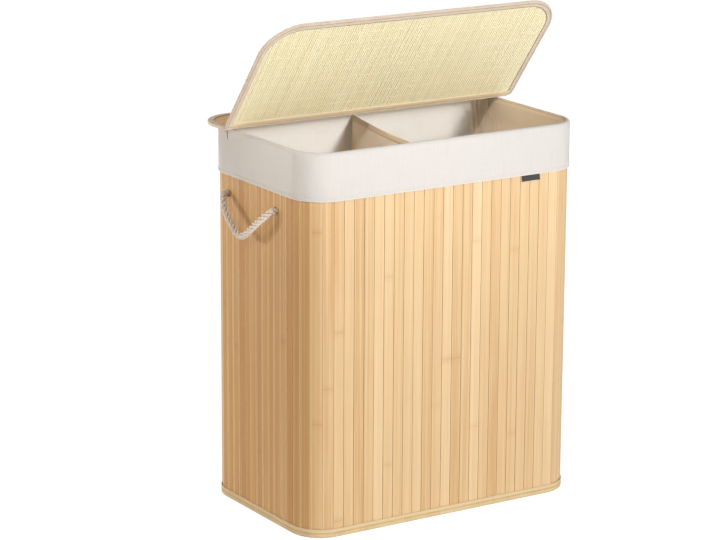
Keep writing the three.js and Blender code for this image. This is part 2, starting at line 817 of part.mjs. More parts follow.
// Half of the loop from its belly to an exit: shares of the half span, the drop and the stand-off.
const ropeLoopShares = [
  [0, 1, 1],
  [0.1, 0.985, 1],
  [0.22, 0.9, 1],
  [0.4, 0.72, 0.985],
  [0.55, 0.56, 0.94],
  [0.7, 0.385, 0.81],
  [0.85, 0.2, 0.53],
  [0.95, 0.07, 0.21],
  [1, 0, 0],
];

function ropeLoop(sign) {
  const half = ropeLoopShares.map(([alongShare, dropShare, outShare]) => new THREE.Vector3(
    sign * outShare * ropeStandOff,
    alongShare * ropeHoleSpacing / 2,
    -dropShare * ropeDrop,
  ));
  const mirrored = half.slice(1).map((point) => new THREE.Vector3(point.x, -point.y, point.z));
  const points = [...mirrored.reverse(), ...half];
  const circle = new THREE.Shape(
    sectionArc(0, 0, ropeRadius, 0, 4, ropeSides).slice(1).map(([x, y]) => new THREE.Vector2(x, y)),
  );
  const rope = new THREE.ExtrudeGeometry(circle, {
    steps: ropeSteps,
    extrudePath: new THREE.CatmullRomCurve3(points),
    bevelEnabled: false,
  });
  const ends = [-1, 1].map((end) => {
    const ball = new THREE.SphereGeometry(ropeRadius, roundSides, ropeSides);
    return ball.translate(0, end * ropeHoleSpacing / 2, 0);
  });
  return joined([rope, ...ends]);
}

const wallFace = bodyWidth / 2 - slatOuterDepth;
for (const side of sides) {
  const knotOuter = bodyWidth / 2 - backingInnerDepth - fitGap;
  const knotInner = knotOuter - ropeKnotLength;
  const stubEnd = wallFace + ropePivotFromWall - ropeRadius - fitGap;
  for (const hole of ropeHoles) {
    const profile = [
      ...knotShares.map(([radiusShare, runShare]) => new THREE.Vector2(
        radiusShare * ropeKnotDiameter / 2,
        knotInner + runShare * ropeKnotLength,
      )),
      new THREE.Vector2(ropeRadius, knotOuter),
      new THREE.Vector2(ropeRadius, stubEnd),
      new THREE.Vector2(0, stubEnd),
    ];
    const end = new THREE.LatheGeometry(profile, roundSides);
    end.rotateZ(-side.sign * Math.PI / 2);
    end.translate(0, hole.y, ropeHoleLevel);
    addPiece(hamper, `${side.name}_rope_knot_${hole.name}`, end, finishes.rope);
  }
  const handle = new THREE.Group();
  handle.position.set(side.sign * (wallFace + ropePivotFromWall), ropeHolesBehindMiddle, ropeHoleLevel);
  hamper.add(handle);
  addPiece(handle, `${side.name}_rope_loop`, ropeLoop(side.sign), finishes.rope);
}

export default hamper;
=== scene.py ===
# Laundry hamper with two bins: the visible pieces and their finishes, in the order of assembly.
# Metres. X runs left to right, Y front to back and Z up, from the floor under the body's middle.

import json
import math
import random

import bmesh
import bpy
import mathutils
from mathutils import Matrix, Vector, noise


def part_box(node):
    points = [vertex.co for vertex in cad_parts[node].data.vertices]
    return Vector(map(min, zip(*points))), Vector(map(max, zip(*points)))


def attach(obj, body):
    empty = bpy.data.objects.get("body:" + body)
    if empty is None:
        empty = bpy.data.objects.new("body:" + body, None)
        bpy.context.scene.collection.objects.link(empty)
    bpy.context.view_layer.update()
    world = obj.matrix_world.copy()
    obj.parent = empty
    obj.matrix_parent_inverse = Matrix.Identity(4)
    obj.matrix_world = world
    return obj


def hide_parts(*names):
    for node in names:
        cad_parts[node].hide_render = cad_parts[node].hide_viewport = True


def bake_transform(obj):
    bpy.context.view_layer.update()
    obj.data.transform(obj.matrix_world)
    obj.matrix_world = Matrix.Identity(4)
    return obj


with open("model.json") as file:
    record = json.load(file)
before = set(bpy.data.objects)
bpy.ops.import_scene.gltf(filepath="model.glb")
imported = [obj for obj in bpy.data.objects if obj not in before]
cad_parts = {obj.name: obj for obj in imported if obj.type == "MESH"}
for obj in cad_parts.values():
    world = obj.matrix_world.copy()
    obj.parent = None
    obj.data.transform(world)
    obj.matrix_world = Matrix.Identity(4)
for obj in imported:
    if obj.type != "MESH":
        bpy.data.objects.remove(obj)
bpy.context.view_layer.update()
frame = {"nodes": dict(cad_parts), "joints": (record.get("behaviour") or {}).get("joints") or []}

# Camera. It stands off the left end of the front, a little above the rim, and looks down at the
# hamper through a long lens.
camera_place = (-2.51909, -3.85994, 1.57107)
camera_yaw = math.radians(32.406)
camera_pitch = math.radians(14.555)
camera_roll = math.radians(0.288)
camera_lens = 146.34

camera = bpy.data.objects.new("camera", bpy.data.cameras.new("camera"))
camera.data.lens = camera_lens
camera.data.sensor_width = 36
camera.data.clip_end = 100
camera.matrix_world = (
    Matrix.Translation(camera_place)
    @ Matrix.Rotation(-camera_yaw, 4, "Z")
    @ Matrix.Rotation(math.pi / 2 - camera_pitch, 4, "X")
    @ Matrix.Rotation(camera_roll, 4, "Z")
)
bpy.context.collection.objects.link(camera)
bpy.context.scene.camera = camera
bpy.context.scene.view_settings.view_transform = "Standard"


# Bamboo wall. Planed bamboo slats stand edge to edge on a cloth, so that the sheet bends at each
# joint round the four corners. They are clear varnished, and two rope holes go through each end.
slat_pitch = 0.0185
slat_thickness = 0.002
slat_joint = 0.00045
slat_edge_round = 0.0009
slat_bend_radius = 0.0526
slat_low, slat_high = (corner.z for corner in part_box("front_slats"))
wall_half_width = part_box("right_slats")[1].x
wall_half_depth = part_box("rear_slats")[1].y
rope_hole_radius = 0.0065
rope_holes_y = [
    (low.y + high.y) / 2
    for low, high in (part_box("left_rope_knot_front"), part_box("left_rope_knot_rear"))
]
rope_level = frame["joints"][1]["pos_m"][2]


def colour(red, green, blue):
    """A colour picked on a screen, from 0 to 255, as the light that a shader works in."""
    shares = [value / 255 for value in (red, green, blue)]
    light = [s / 12.92 if s <= 0.04045 else ((s + 0.055) / 1.055) ** 2.4 for s in shares]
    return (*light, 1)


class Shade:
    """One output of a node in a material. Arithmetic on it adds Math nodes."""

    def __init__(self, tree, socket=None):
        self.tree = tree
        self.socket = socket

    def node(self, kind, settings=None, inputs=None, output=0):
        made = self.tree.nodes.new(kind)
        for name, value in (settings or {}).items():
            if name == "stops":
                elements = made.color_ramp.elements
                while len(elements) < len(value):
                    elements.new(1)
                for element, (place, tint) in zip(elements, value):
                    element.position = place
                    element.color = tint
            else:
                setattr(made, name, value)
        for name, value in (inputs or {}).items():
            self.feed(made.inputs[name], value)
        return Shade(self.tree, made.outputs[output])

    def feed(self, socket, value):
        """Links another output to a socket, or sets the socket to a plain value."""
        if isinstance(value, Shade):
            self.tree.links.new(value.socket, socket)
        else:
            socket.default_value = value

    def other(self, output):
        return Shade(self.tree, self.socket.node.outputs[output])

    def math(self, operation, *values):
        return self.node("ShaderNodeMath", {"operation": operation}, dict(enumerate(values)))

    def between(self, low, high):
        """0 below low, 1 above high, and a smooth step from one to the other."""
        ends = {"From Min": low, "From Max": high, "Value": self}
        return self.node("ShaderNodeMapRange", {"interpolation_type": "SMOOTHSTEP"}, ends)

    def pick(self, first, second, blend="MIX"):
        """The first colour where this is 0, and the second, or their blend, where it is 1."""
        settings = {"data_type": "RGBA", "blend_type": blend}
        return self.node("ShaderNodeMix", settings, {0: self, 6: first, 7: second}, 2)

    def grit(self, x, y, z, detail=2):
        """A smooth random pattern from 0 to 1, about one unit of x, y and z from blob to blob."""
        place = self.node("ShaderNodeCombineXYZ", {}, {0: x, 1: y, 2: z})
        inputs = {"Vector": place, "Scale": 1, "Detail": detail}
        return self.node("ShaderNodeTexNoise", {}, inputs)

    def specks(self, scale):
        """A random pattern all through a piece, with so many blobs to a metre."""
        place = self.node("ShaderNodeTexCoord", {}, {}, 3)
        inputs = {"Vector": place, "Scale": scale, "Detail": 4}
        return self.node("ShaderNodeTexNoise", {}, inputs)

    def uv(self, layer):
        """The two coordinates of a UV map."""
        place = self.node("ShaderNodeUVMap", {"uv_map": layer})
        first = self.node("ShaderNodeSeparateXYZ", {}, {0: place})
        return first, first.other(1)

    def __add__(self, other):
        return self.math("ADD", self, other)

    def __sub__(self, other):
        return self.math("SUBTRACT", self, other)

    def __rsub__(self, other):
        return self.math("SUBTRACT", other, self)

    def __mul__(self, other):
        return self.math("MULTIPLY", self, other)

    def __truediv__(self, other):
        return self.math("DIVIDE", self, other)

    def __abs__(self):
        return self.math("ABSOLUTE", self)

    __radd__ = __add__
    __rmul__ = __mul__


def new_finish(name, roughness, shine=0.5):
    """A bare material. Returns it with a Shade to build its nodes from."""
    made = bpy.data.materials.new(name)
    made.use_nodes = True
    surface = made.node_tree.nodes["Principled BSDF"]
    surface.inputs["Roughness"].default_value = roughness
    surface.inputs["Specular IOR Level"].default_value = shine
    return made, Shade(made.node_tree)


def set_surface(start, **outputs):
    """Links results to the surface's sockets, named with an underscore for each space."""
    surface = start.tree.nodes["Principled BSDF"]
    for name, value in outputs.items():
        start.feed(surface.inputs[name.replace("_", " ")], value)


def bump(height, depth):
    """The normal of a surface that stands out by a depth in metres where height is 1."""
    inputs = {"Height": height, "Distance": depth, "Strength": 1}
    return height.node("ShaderNodeBump", {}, inputs)


def near_ends(start):
    """1 at the hamper's two ends, and 0 between them."""
    place = start.node("ShaderNodeTexCoord", {}, {}, 3)
    from_middle = start.node("ShaderNodeSeparateXYZ", {}, {0: place})
    return abs(from_middle).between(0.225, 0.259)


def bamboo(name, pale, mid, deep, knot, fibre_depth, blush=(1, 0.84, 0.81, 1),
           painted_end_shade=(1, 1, 1, 1), painted_gap_shade=0):
    """Varnished bamboo. Its grain follows each strip, and each strip has a tone of its own. The
    strips of the two ends are tinted darker as painted shade, with stronger streaks. A pale band
    beside each strip's edge is a painted highlight. Where asked, short dark dashes beside a strip
    are painted shade of the gaps between strips."""
    made, start = new_finish(name, 0.4, 0.3)
    across, along = start.uv("grain")
    seed, _ = start.uv("strip")
    chance, second = (
        start.node("ShaderNodeTexWhiteNoise", {"noise_dimensions": "1D"}, {"W": number})
        for number in (seed, seed + 0.37)
    )

    fibres = start.grit(across * 1500, along * 14, seed * 5, 3)
    bands = start.grit(across * 260, along * 1.6, seed * 9, 2)
    blotch = start.grit(across * 60, along * 9, seed * 3, 2)
    tone = chance * 0.56 + bands.between(0.3, 0.7) * 0.3 + blotch * 0.2 - 0.06
    body = tone.between(0.05, 0.5).pick(pale, mid)
    body = tone.between(0.45, 1.05).pick(body, deep)
    body = (fibres.between(0.56, 0.75) * 0.4).pick(body, deep)
    rosy = start.grit(across * 90, along * 4, seed * 2 + 40, 1)
    body = (rosy.between(0.5, 0.8) * 0.5).pick(body, blush, "MULTIPLY")

    # The knots: a dark line across the strip and a paler swelling beside it.
    wander = start.grit(across * 300, seed * 31, 0, 1) * 0.006
    knot_spacing = 0.31
    spot = start.math("FRACT", (along + second * 0.9 + wander) / knot_spacing)
    far = abs(spot - 0.5) * knot_spacing
    shows = second.between(0.5, 0.9) * 0.8
    line = (1 - far.between(0.0004, 0.002)) * shows
    halo = (1 - far.between(0.002, 0.012)) * shows
    body = (halo * 0.3).pick(body, deep)
    body = (line * fibres.between(0.3, 0.7) * 0.4).pick(body, knot)
    # Painted shade: the strips of the hamper's two ends are tinted darker, with stronger pale and
    # dark streaks.
    at_end = near_ends(start)
    body = at_end.pick(body, painted_end_shade, "MULTIPLY")
    streak = start.grit(across * 420, along * 0.7, seed * 6 + 11, 1)
    body = (streak.between(0.57, 0.68) * at_end * 0.6).pick(body, pale)
    body = ((1 - streak.between(0.32, 0.43)) * at_end * 0.6).pick(body, deep)
    # Painted highlight: a pale band beside each strip's edge, faint on the front and stronger at
    # the ends, where light catches the rounded edges.
    painted_edge_highlight = abs(across + 0.001).between(0.0066, 0.0078)
    body = (painted_edge_highlight * (at_end * second.between(0.1, 0.7) * 0.85 + 0.12)).pick(body, pale)
    # Painted shade: short dark dashes beside a strip, where the gaps between strips lie in shade.
    if painted_gap_shade:
        gap_shade_dash = start.grit(seed * 17, along * 26, 3, 1).between(0.69, 0.73)
        beside = abs(across).between(0.0011, 0.0016)
        body = (gap_shade_dash * beside * painted_gap_shade).pick(body, knot)
    height = fibres * 0.5 + bands * 0.3 - line * 0.5 + halo * 0.4
    set_surface(start, Base_Color=body, Normal=bump(height, fibre_depth),
                Roughness=fibres * 0.2 + 0.34)
    return made


def strip_shape(width, thickness, length, edge_round):
    """A bar of one strip's size, with its long edges rounded. Width is X, length is Z."""
    shape = bmesh.new()
    bmesh.ops.create_cube(shape, size=1)
    bmesh.ops.scale(shape, vec=(width, thickness, length), verts=shape.verts)
    long_edges = [
        edge for edge in shape.edges
        if abs(edge.verts[0].co.z - edge.verts[1].co.z) > length / 2
    ]
    bmesh.ops.bevel(
        shape, geom=long_edges, offset=edge_round, segments=2,
        profile=0.5, affect="EDGES", material=-1,
    )
    data = bpy.data.meshes.new("strip")
    shape.to_mesh(data)
    shape.free()
    return data


def new_strips():
    mesh = bmesh.new()
    mesh.loops.layers.uv.new("grain")
    mesh.loops.layers.uv.new("strip")
    return mesh


def add_strip(mesh, shape, seed, placing):
    """Adds a strip to a mesh, with its grain and its seed in UV maps. Returns its vertices."""
    vert_count = len(mesh.verts)
    face_count = len(mesh.faces)
    mesh.from_mesh(shape)
    mesh.verts.ensure_lookup_table()
    mesh.faces.ensure_lookup_table()
    grain = mesh.loops.layers.uv["grain"]
    strip = mesh.loops.layers.uv["strip"]
    for face in mesh.faces[face_count:]:
        for loop in face.loops:
            place = loop.vert.co
            loop[grain].uv = (place.x + place.y, place.z)
            loop[strip].uv = (seed, 0)
    verts = mesh.verts[vert_count:]
    bmesh.ops.transform(mesh, matrix=placing, verts=verts)
    return verts


def shown(name, mesh, finish, smooth=False):
    """Makes an object of a finished bmesh, in its place."""
    data = bpy.data.meshes.new(name)
    mesh.to_mesh(data)
    mesh.free()
    data.materials.append(finish)
    data.polygons.foreach_set("use_smooth", [smooth] * len(data.polygons))
    made = bpy.data.objects.new(name, data)
    bpy.context.collection.objects.link(made)
    return made


def settle(piece):
    """Turns a piece's modifiers into its mesh."""
    bpy.context.view_layer.update()
    solved = piece.evaluated_get(bpy.context.evaluated_depsgraph_get())
    data = bpy.data.meshes.new_from_object(solved)
    data.name = piece.name
    piece.modifiers.clear()
    piece.data = data


def dress(piece, finish_slot, *nodes, body="hamper_body"):
    """Hangs a piece on its body and hides the solids that it stands for. The finish slot is not
    used.
    """
    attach(piece, body)
    if nodes:
        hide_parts(*nodes)


class RoundLine:
    """A rectangle with round corners, run counter-clockwise from the middle of its front."""

    def __init__(self, half_x, half_y, front_radius, rear_radius):
        self.half_x = half_x
        self.half_y = half_y
        radii = [front_radius, rear_radius, rear_radius, front_radius]
        self.corners = list(zip([1, 1, -1, -1], [-1, 1, 1, -1], radii))
        half_front = half_x - front_radius
        half_rear = half_x - rear_radius
        side = 2 * half_y - front_radius - rear_radius
        bends = [radius * math.pi / 2 for radius in radii]
        self.runs = [half_front, bends[0], side, bends[1], 2 * half_rear]
        self.runs += [bends[2], side, bends[3], half_front]
        self.length = sum(self.runs)

    def corner(self, number, turn, depth):
        """A corner's point and normal, from its start at turn 0 to its end at turn 1."""
        side_x, side_y, radius = self.corners[number]
        angle = (number - 1 + turn) * math.pi / 2
        normal = Vector((math.cos(angle), math.sin(angle), 0))
        inset = max(radius, depth)
        centre = Vector((side_x * (self.half_x - inset), side_y * (self.half_y - inset), 0))
        return centre + normal * max(radius - depth, 0), normal

    def run_at(self, distance):
        """The run, as a number from 0 to 8, at a distance along the line, and the share of it."""
        distance %= self.length
        run = 0
        while run < 8 and distance > self.runs[run]:
            distance -= self.runs[run]
            run += 1
        return run, distance / self.runs[run]

    def at(self, distance, depth=0):
        """The point and the outward normal at a distance along the line, moved in by a depth."""
        run, share = self.run_at(distance)
        if run % 2:
            return self.corner(run // 2, share, depth)
        start, normal = self.corner(run // 2 - 1 if run else 3, 1, depth)
        end, _ = self.corner(run // 2 % 4, 0, depth)
        if run in (0, 8):
            share = share / 2 + (0.5 if run == 0 else 0)
        return start.lerp(end, share), normal


wall_line = RoundLine(wall_half_width, wall_half_depth, slat_bend_radius, slat_bend_radius)
wall_names = [
    "front_slats", "front_right_corner_slats", "right_slats", "rear_right_corner_slats",
    "rear_slats", "rear_left_corner_slats", "left_slats", "front_left_corner_slats", "front_slats",
]
slat_count = round(wall_line.length / slat_pitch)
slat_step = wall_line.length / slat_count
slat_height = slat_high - slat_low
# The end strips' darker tint is painted shade on the two ends of the wall.
wall_bamboo = bamboo(
    "wall_bamboo", colour(231, 204, 164), colour(222, 192, 148), colour(201, 160, 112),
    colour(160, 108, 58), 0.00008, painted_end_shade=colour(222, 193, 142),
)
wall_random = random.Random(5)
wall_meshes = {name: new_strips() for name in wall_names}
for number in range(slat_count):
    joints = [(number + side) * slat_step for side in (-0.5, 0.5)]
    first, last = (wall_line.at(joint)[0] for joint in joints)
    first_run, last_run = (wall_line.run_at(joint)[0] for joint in joints)
    run = first_run if first_run % 2 or first_run == last_run else last_run
    chord = last - first
    along = chord.normalized()
    outward = Vector((along.y, -along.x, 0))
    proud = wall_random.uniform(-0.00012, 0.00012)
    centre = (first + last) / 2 + outward * (proud - slat_thickness / 2)
    centre.z = (slat_low + slat_high) / 2
    turn = Matrix((along, -outward, Vector((0, 0, 1)))).transposed().to_4x4()
    shape = strip_shape(chord.length - slat_joint, slat_thickness, slat_height, slat_edge_round)
    add_strip(wall_meshes[wall_names[run]], shape, number + 1, Matrix.Translation(centre) @ turn)
    bpy.data.meshes.remove(shape)

drill_length = 0.04


def rod(mesh, place, radius, length, segments):
    """A round rod along X, with its middle at a place."""
    bmesh.ops.create_cone(
        mesh, cap_ends=True, segments=segments, radius1=radius, radius2=radius, depth=length,
        matrix=Matrix.Translation(place) @ Matrix.Rotation(math.pi / 2, 4, "Y"),
    )


drill = bmesh.new()
for end in (-1, 1):
    for hole_y in rope_holes_y:
        at_hole = (end * wall_half_width, hole_y, rope_level)
        rod(drill, at_hole, rope_hole_radius, drill_length, 32)
drill = shown("rope_hole_drill", drill, wall_bamboo)


def cut_with(piece, tool, operation="DIFFERENCE"):
    """Cuts another object's shape out of a piece, or keeps only what lies inside it."""
    cut = piece.modifiers.new("cut", "BOOLEAN")
    cut.object = tool
    cut.operation = operation
    settle(piece)


for name, mesh in wall_meshes.items():
    sheet = shown(name + "_strips", mesh, wall_bamboo)
    if "left" in name or "right" in name:
        cut_with(sheet, drill)
    dress(sheet, "bamboo_wall", name)

# Backing cloth. A dark cotton sheet glued behind the slats, which holds them in one wall. It
# bends only at the joints, and shows as a dark line between two slats.
backing_depth = 0.0023
backing_thickness = 0.0005


def fine(section, step):
    """A section's points, with more between them so that none are further apart than a step."""
    points = [Vector(section[0])]
    for start, end in zip(section, section[1:]):
        gap = Vector(end) - Vector(start)
        count = max(1, math.ceil(gap.length / step - 0.01))
        points += [Vector(start) + gap * (share + 1) / count for share in range(count)]
    return points


def arc(depth, level, radius, first, last, steps=6):
    """Points of an arc in a section, from one angle to another in quarter turns."""
    angles = [math.pi / 2 * (first + (last - first) * step / steps) for step in range(steps + 1)]
    return [Vector((depth + radius * math.cos(a), level + radius * math.sin(a))) for a in angles]


def run_length(points):
    return sum((end - start).length for start, end in zip(points, points[1:]))


def cloth_grid(columns, rows, size, place):
    """A flat cut of cloth with its metres as a UV map, put in place. Shares of it give places."""
    mesh = bmesh.new()
    bmesh.ops.create_grid(
        mesh, x_segments=columns, y_segments=rows, size=0.5,
        matrix=Matrix.Translation((0.5, 0.5, 0)),
    )
    layer = mesh.loops.layers.uv.new("cloth")
    for face in mesh.faces:
        for loop in face.loops:
            loop[layer].uv = (loop.vert.co.x * size[0], loop.vert.co.y * size[1])
    for vert in mesh.verts:
        vert.co = place(vert.co.x, vert.co.y)
    return mesh


def weld(mesh, gap=0.00002):
    """Joins the points of a mesh that lie on one another."""
    bmesh.ops.remove_doubles(mesh, verts=mesh.verts, dist=gap)


def swept(line, section, columns, ripple=None):
    """Cloth laid once round a line, along a section of depths and levels, outer side out."""
    rows = len(section) - 1

    def place(u, v):
        depth, level = section[round(v * rows)]
        point, normal = line.at(u * line.length, depth)
        if ripple:
            point += normal * ripple(point, level)
        return point + Vector((0, 0, level))

    mesh = cloth_grid(columns, rows, (line.length, run_length(section)), place)
    weld(mesh)
    return mesh


def thicken(piece, thickness, offset=-1):
    """Gives a cloth its thickness, behind its face unless the offset says otherwise."""
    wall = piece.modifiers.new("thickness", "SOLIDIFY")
    wall.thickness = thickness
    wall.offset = offset
    wall.use_even_offset = True
    settle(piece)


def sine(value):
    return value.math("SINE", value)


def woven(name, light, dark, thread, slub, marks=(), soft_share=0.25, painted_end_shade=(1, 1, 1, 1),
          inside=None, painted_lit_stretch=None, hem=None, **surface):
    """Plain-woven cloth, with threads a distance apart, thicker yarns here and there, and lint.
    Marks are lines across its cut: where each lies, its half width, and how dark it is. The end
    tint is laid over the cloth at the hamper's two ends as painted shade. The inner shade is a
    place in the cut and a colour painted beyond it, as painted shade. The lit stretch is a place
    along the cut, its half length and the two colours painted there, as painted light. Hem is a
    place in the cut and the two colours of the doubled cloth before it. The rest goes to the
    surface by name."""
    made, start = new_finish(name, 0.9, 0.25)
    u, v = start.uv("cloth")
    wander = start.grit(u * 90, v * 90, 0, 1) * 0.9
    warp = sine((u / thread + wander) * math.pi)
    weft = sine((v / thread + wander) * math.pi)
    crossing = warp * weft
    over = abs(warp) + crossing
    under = abs(weft) - crossing
    weave = over.math("MAXIMUM", over, under) * 0.5

    upright = start.grit(u * 700, v * 22, 3, 2)
    level = start.grit(u * 22, v * 700, 8, 2)
    thick = upright.between(0.5, 0.72) * 0.6 + level.between(0.5, 0.75) * 0.4
    soft = start.grit(u * 30, v * 30, 5, 3)
    lint = start.grit(u * 2600, v * 2600, 1, 1)
    tone = (1 - weave) * 0.35 + thick * slub + lint * 0.12 - 0.1
    tone += soft.between(0.35, 0.75) * soft_share
    for place, half_width, darkness in marks:
        near = 1 - abs(v - place).between(half_width * 0.4, half_width)
        tone += near * darkness
    height = weave * 0.6 + thick * slub * 0.8 + lint * 0.15
    tone = tone.between(0, 1)
    # Painted shade: a tint over the cloth at the hamper's two ends.
    body = near_ends(start).pick(tone.pick(light, dark), painted_end_shade, "MULTIPLY")
    # Painted light: a stretch along the cut in lighter, golden colours, where the tape lies in
    # shade.
    if painted_lit_stretch:
        middle, reach, light, dark = painted_lit_stretch
        away = abs(u - middle).between(reach - 0.02, reach)
        body = away.pick(tone.pick(light, dark), body)
    if hem:
        place, light, dark = hem
        body = v.between(place - 0.0004, place + 0.0004).pick(tone.pick(light, dark), body)
    # Painted shade: a warm tan on the cloth beyond a place in the cut, where it turns in away from
    # the light.
    if inside:
        body = v.between(inside[0], inside[0] + 0.001).pick(body, inside[1])
    set_surface(start, Base_Color=body, Normal=bump(height, thread * 0.35),
                Sheen_Weight=0.15, Sheen_Roughness=0.5, **surface)
    return made


joint_line = [wall_line.at((number - 0.5) * slat_step) for number in range(slat_count + 1)]


def bent_at_joints(share, depth):
    """A point that follows the flat backs of the slats, at a depth behind their outer face."""
    step = min(share, 0.999999) * slat_count
    ends = [point - normal * depth for point, normal in joint_line[int(step):int(step) + 2]]
    return ends[0].lerp(ends[1], step - int(step))


backing_cloth = woven(
    "backing_cloth", colour(104, 72, 42), colour(66, 44, 24), 0.0006, 0.4,
)
backing_mesh = cloth_grid(
    slat_count * 2, 12, (wall_line.length, slat_height),
    lambda u, v: bent_at_joints(u, backing_depth) + Vector((0, 0, slat_low + v * slat_height)),
)
weld(backing_mesh)
backing = shown("wall_backing", backing_mesh, backing_cloth)
thicken(backing, backing_thickness)
cut_with(backing, drill)
bpy.data.objects.remove(drill)
dress(backing, "backing_cloth", "wall_backing_cloth")

# Edge tapes. A cotton tape is folded over each edge of the wall, round a spring-steel hoop that
# keeps the edge in shape, and is sewn through the slats with one row of stitches.
tape_height = 0.0145
tape_thickness = 0.0008
tape_outer = -0.0011
tape_round = 0.0025
stitch_length = 0.0028
stitch_gap = 0.0014
stitch_radius = 0.00032


def stitch_row(mesh, line, depth, level):
    """A row of stitches along a line. Each is a short length of thread, round at its ends."""
    count = round(line.length / (stitch_length + stitch_gap))
    for number in range(count):
        point, normal = line.at(number * line.length / count, depth)
        place = Matrix.Translation(point + Vector((0, 0, level)))
        turn = Vector((-normal.y, normal.x, 0)).to_track_quat("X", "Z").to_matrix().to_4x4()
        shape = Matrix.Diagonal((stitch_length / 2, stitch_radius, stitch_radius, 1))
        bmesh.ops.create_icosphere(mesh, subdivisions=1, radius=1, matrix=place @ turn @ shape)


def thread_finish(name, tint):
    """Sewing thread: two plies wound round each other, with a soft sheen."""
    made, start = new_finish(name, 0.75, 0.3)
    place = start.node("ShaderNodeTexCoord", {}, {}, 3)
    plies = start.node("ShaderNodeTexWave", {"bands_direction": "DIAGONAL"},
                       {"Vector": place, "Scale": 900, "Distortion": 0.6}, 1)
    dim = tuple(value * 0.78 for value in tint[:3]) + (1,)
    set_surface(start, Base_Color=(plies * 0.6).pick(tint, dim), Normal=bump(plies, 0.00008))
    return made


wire_finish, wire_start = new_finish("hoop_wire", 0.35)
wire_marks = wire_start.specks(180)
set_surface(
    wire_start, Metallic=1.0,
    Base_Color=wire_marks.between(0.35, 0.75).pick(colour(186, 188, 190), colour(120, 112, 104)),
    Roughness=wire_marks * 0.4 + 0.2, Normal=bump(wire_marks, 0.00004),
)


def clamp(value):
    return min(1, max(0, value))


# The darker line below the stitch row is painted shade under the tape's swell; the lighter line
# marks the stitch row.
tape_cloth = woven(
    "bottom_tape", colour(226, 204, 162), colour(192, 160, 114), 0.0007, 0.35,
    marks=((0.0022, 0.0016, -0.7), (0.0045, 0.0012, 0.35)),
)
linen_thread = thread_finish("linen_thread", colour(240, 234, 224))
tape_thread = thread_finish("tape_thread", colour(246, 232, 205))
tape_crown = (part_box("top_hoop")[0].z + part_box("top_hoop")[1].z) / 2
hoop_depth = tape_outer + tape_round
tape_inner = tape_outer + 2 * tape_round
tape_flat = 2 * (tape_height - tape_round) + math.pi * tape_round
for edge, level, turn, tape_slot in (
    ("top", tape_crown, -1, "linen_cuff"), ("bottom", tape_round, 1, "bottom_tape"),
):
    legs = turn * (tape_height - tape_round)
    tape_section = fine([(tape_outer, legs), (tape_outer, 0)], 0.003)[:-1]
    tape_section += arc(hoop_depth, 0, tape_round, 2, 4 if turn == 1 else 0, 8)
    tape_section += fine([(tape_inner, 0), (tape_inner, legs)], 0.003)[1:]
    tape_rows = len(tape_section) - 1

    def tape_place(u, v):
        depth, height = tape_section[round(v * tape_rows)]
        smooth, normal = wall_line.at((u - 0.5 / slat_count) * wall_line.length, depth)
        inward = clamp((depth - tape_outer) / (tape_inner - tape_outer))
        return smooth.lerp(bent_at_joints(u, depth), inward) + Vector((0, 0, level + height))

    tape_mesh = cloth_grid(slat_count * 6, tape_rows, (wall_line.length, tape_flat), tape_place)
    weld(tape_mesh)
    if turn == 1:
        bmesh.ops.reverse_faces(tape_mesh, faces=tape_mesh.faces)
    tape = shown(edge + "_tape", tape_mesh, tape_cloth, True)
    thicken(tape, tape_thickness)
    stitches = bmesh.new()
    stitch_row(stitches, wall_line, tape_outer - 0.0001, level + legs - turn * 0.002)
    stitches = shown(edge + "_tape_stitches", stitches, tape_thread, True)
    dress(tape, tape_slot, edge + "_edge_tape")
    dress(stitches, tape_slot)
    hoop_finishes = frame["nodes"][edge + "_hoop"].data.materials
    hoop_finishes.clear()
    hoop_finishes.append(wire_finish)

# Floor. A mat of short bamboo strips, front to back, lies inside the bottom hoop, and a cotton
# cloth is glued over it.
floor_low, floor_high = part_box("floor_mat")
cover_low, cover_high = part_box("floor_cover_cloth")
floor_depth = wall_half_width - floor_high.x


def face_outward(mesh):
    bmesh.ops.recalc_face_normals(mesh, faces=mesh.faces)


def slab(line, depth, low, high):
    """A block of a line's outline, to cut other pieces with."""
    mesh = bmesh.new()
    points = [line.at(share * line.length / 240, depth)[0] for share in range(240)]
    rim = []
    for point in points:
        if not rim or (point - rim[-1].co).length > 0.00005:
            rim.append(mesh.verts.new(point))
    face = mesh.faces.new(rim)
    bmesh.ops.translate(mesh, vec=(0, 0, low), verts=mesh.verts)
    raised = bmesh.ops.extrude_face_region(mesh, geom=[face])
    top = [item for item in raised["geom"] if isinstance(item, bmesh.types.BMVert)]
    bmesh.ops.translate(mesh, vec=(0, 0, high - low), verts=top)
    face_outward(mesh)
    return mesh


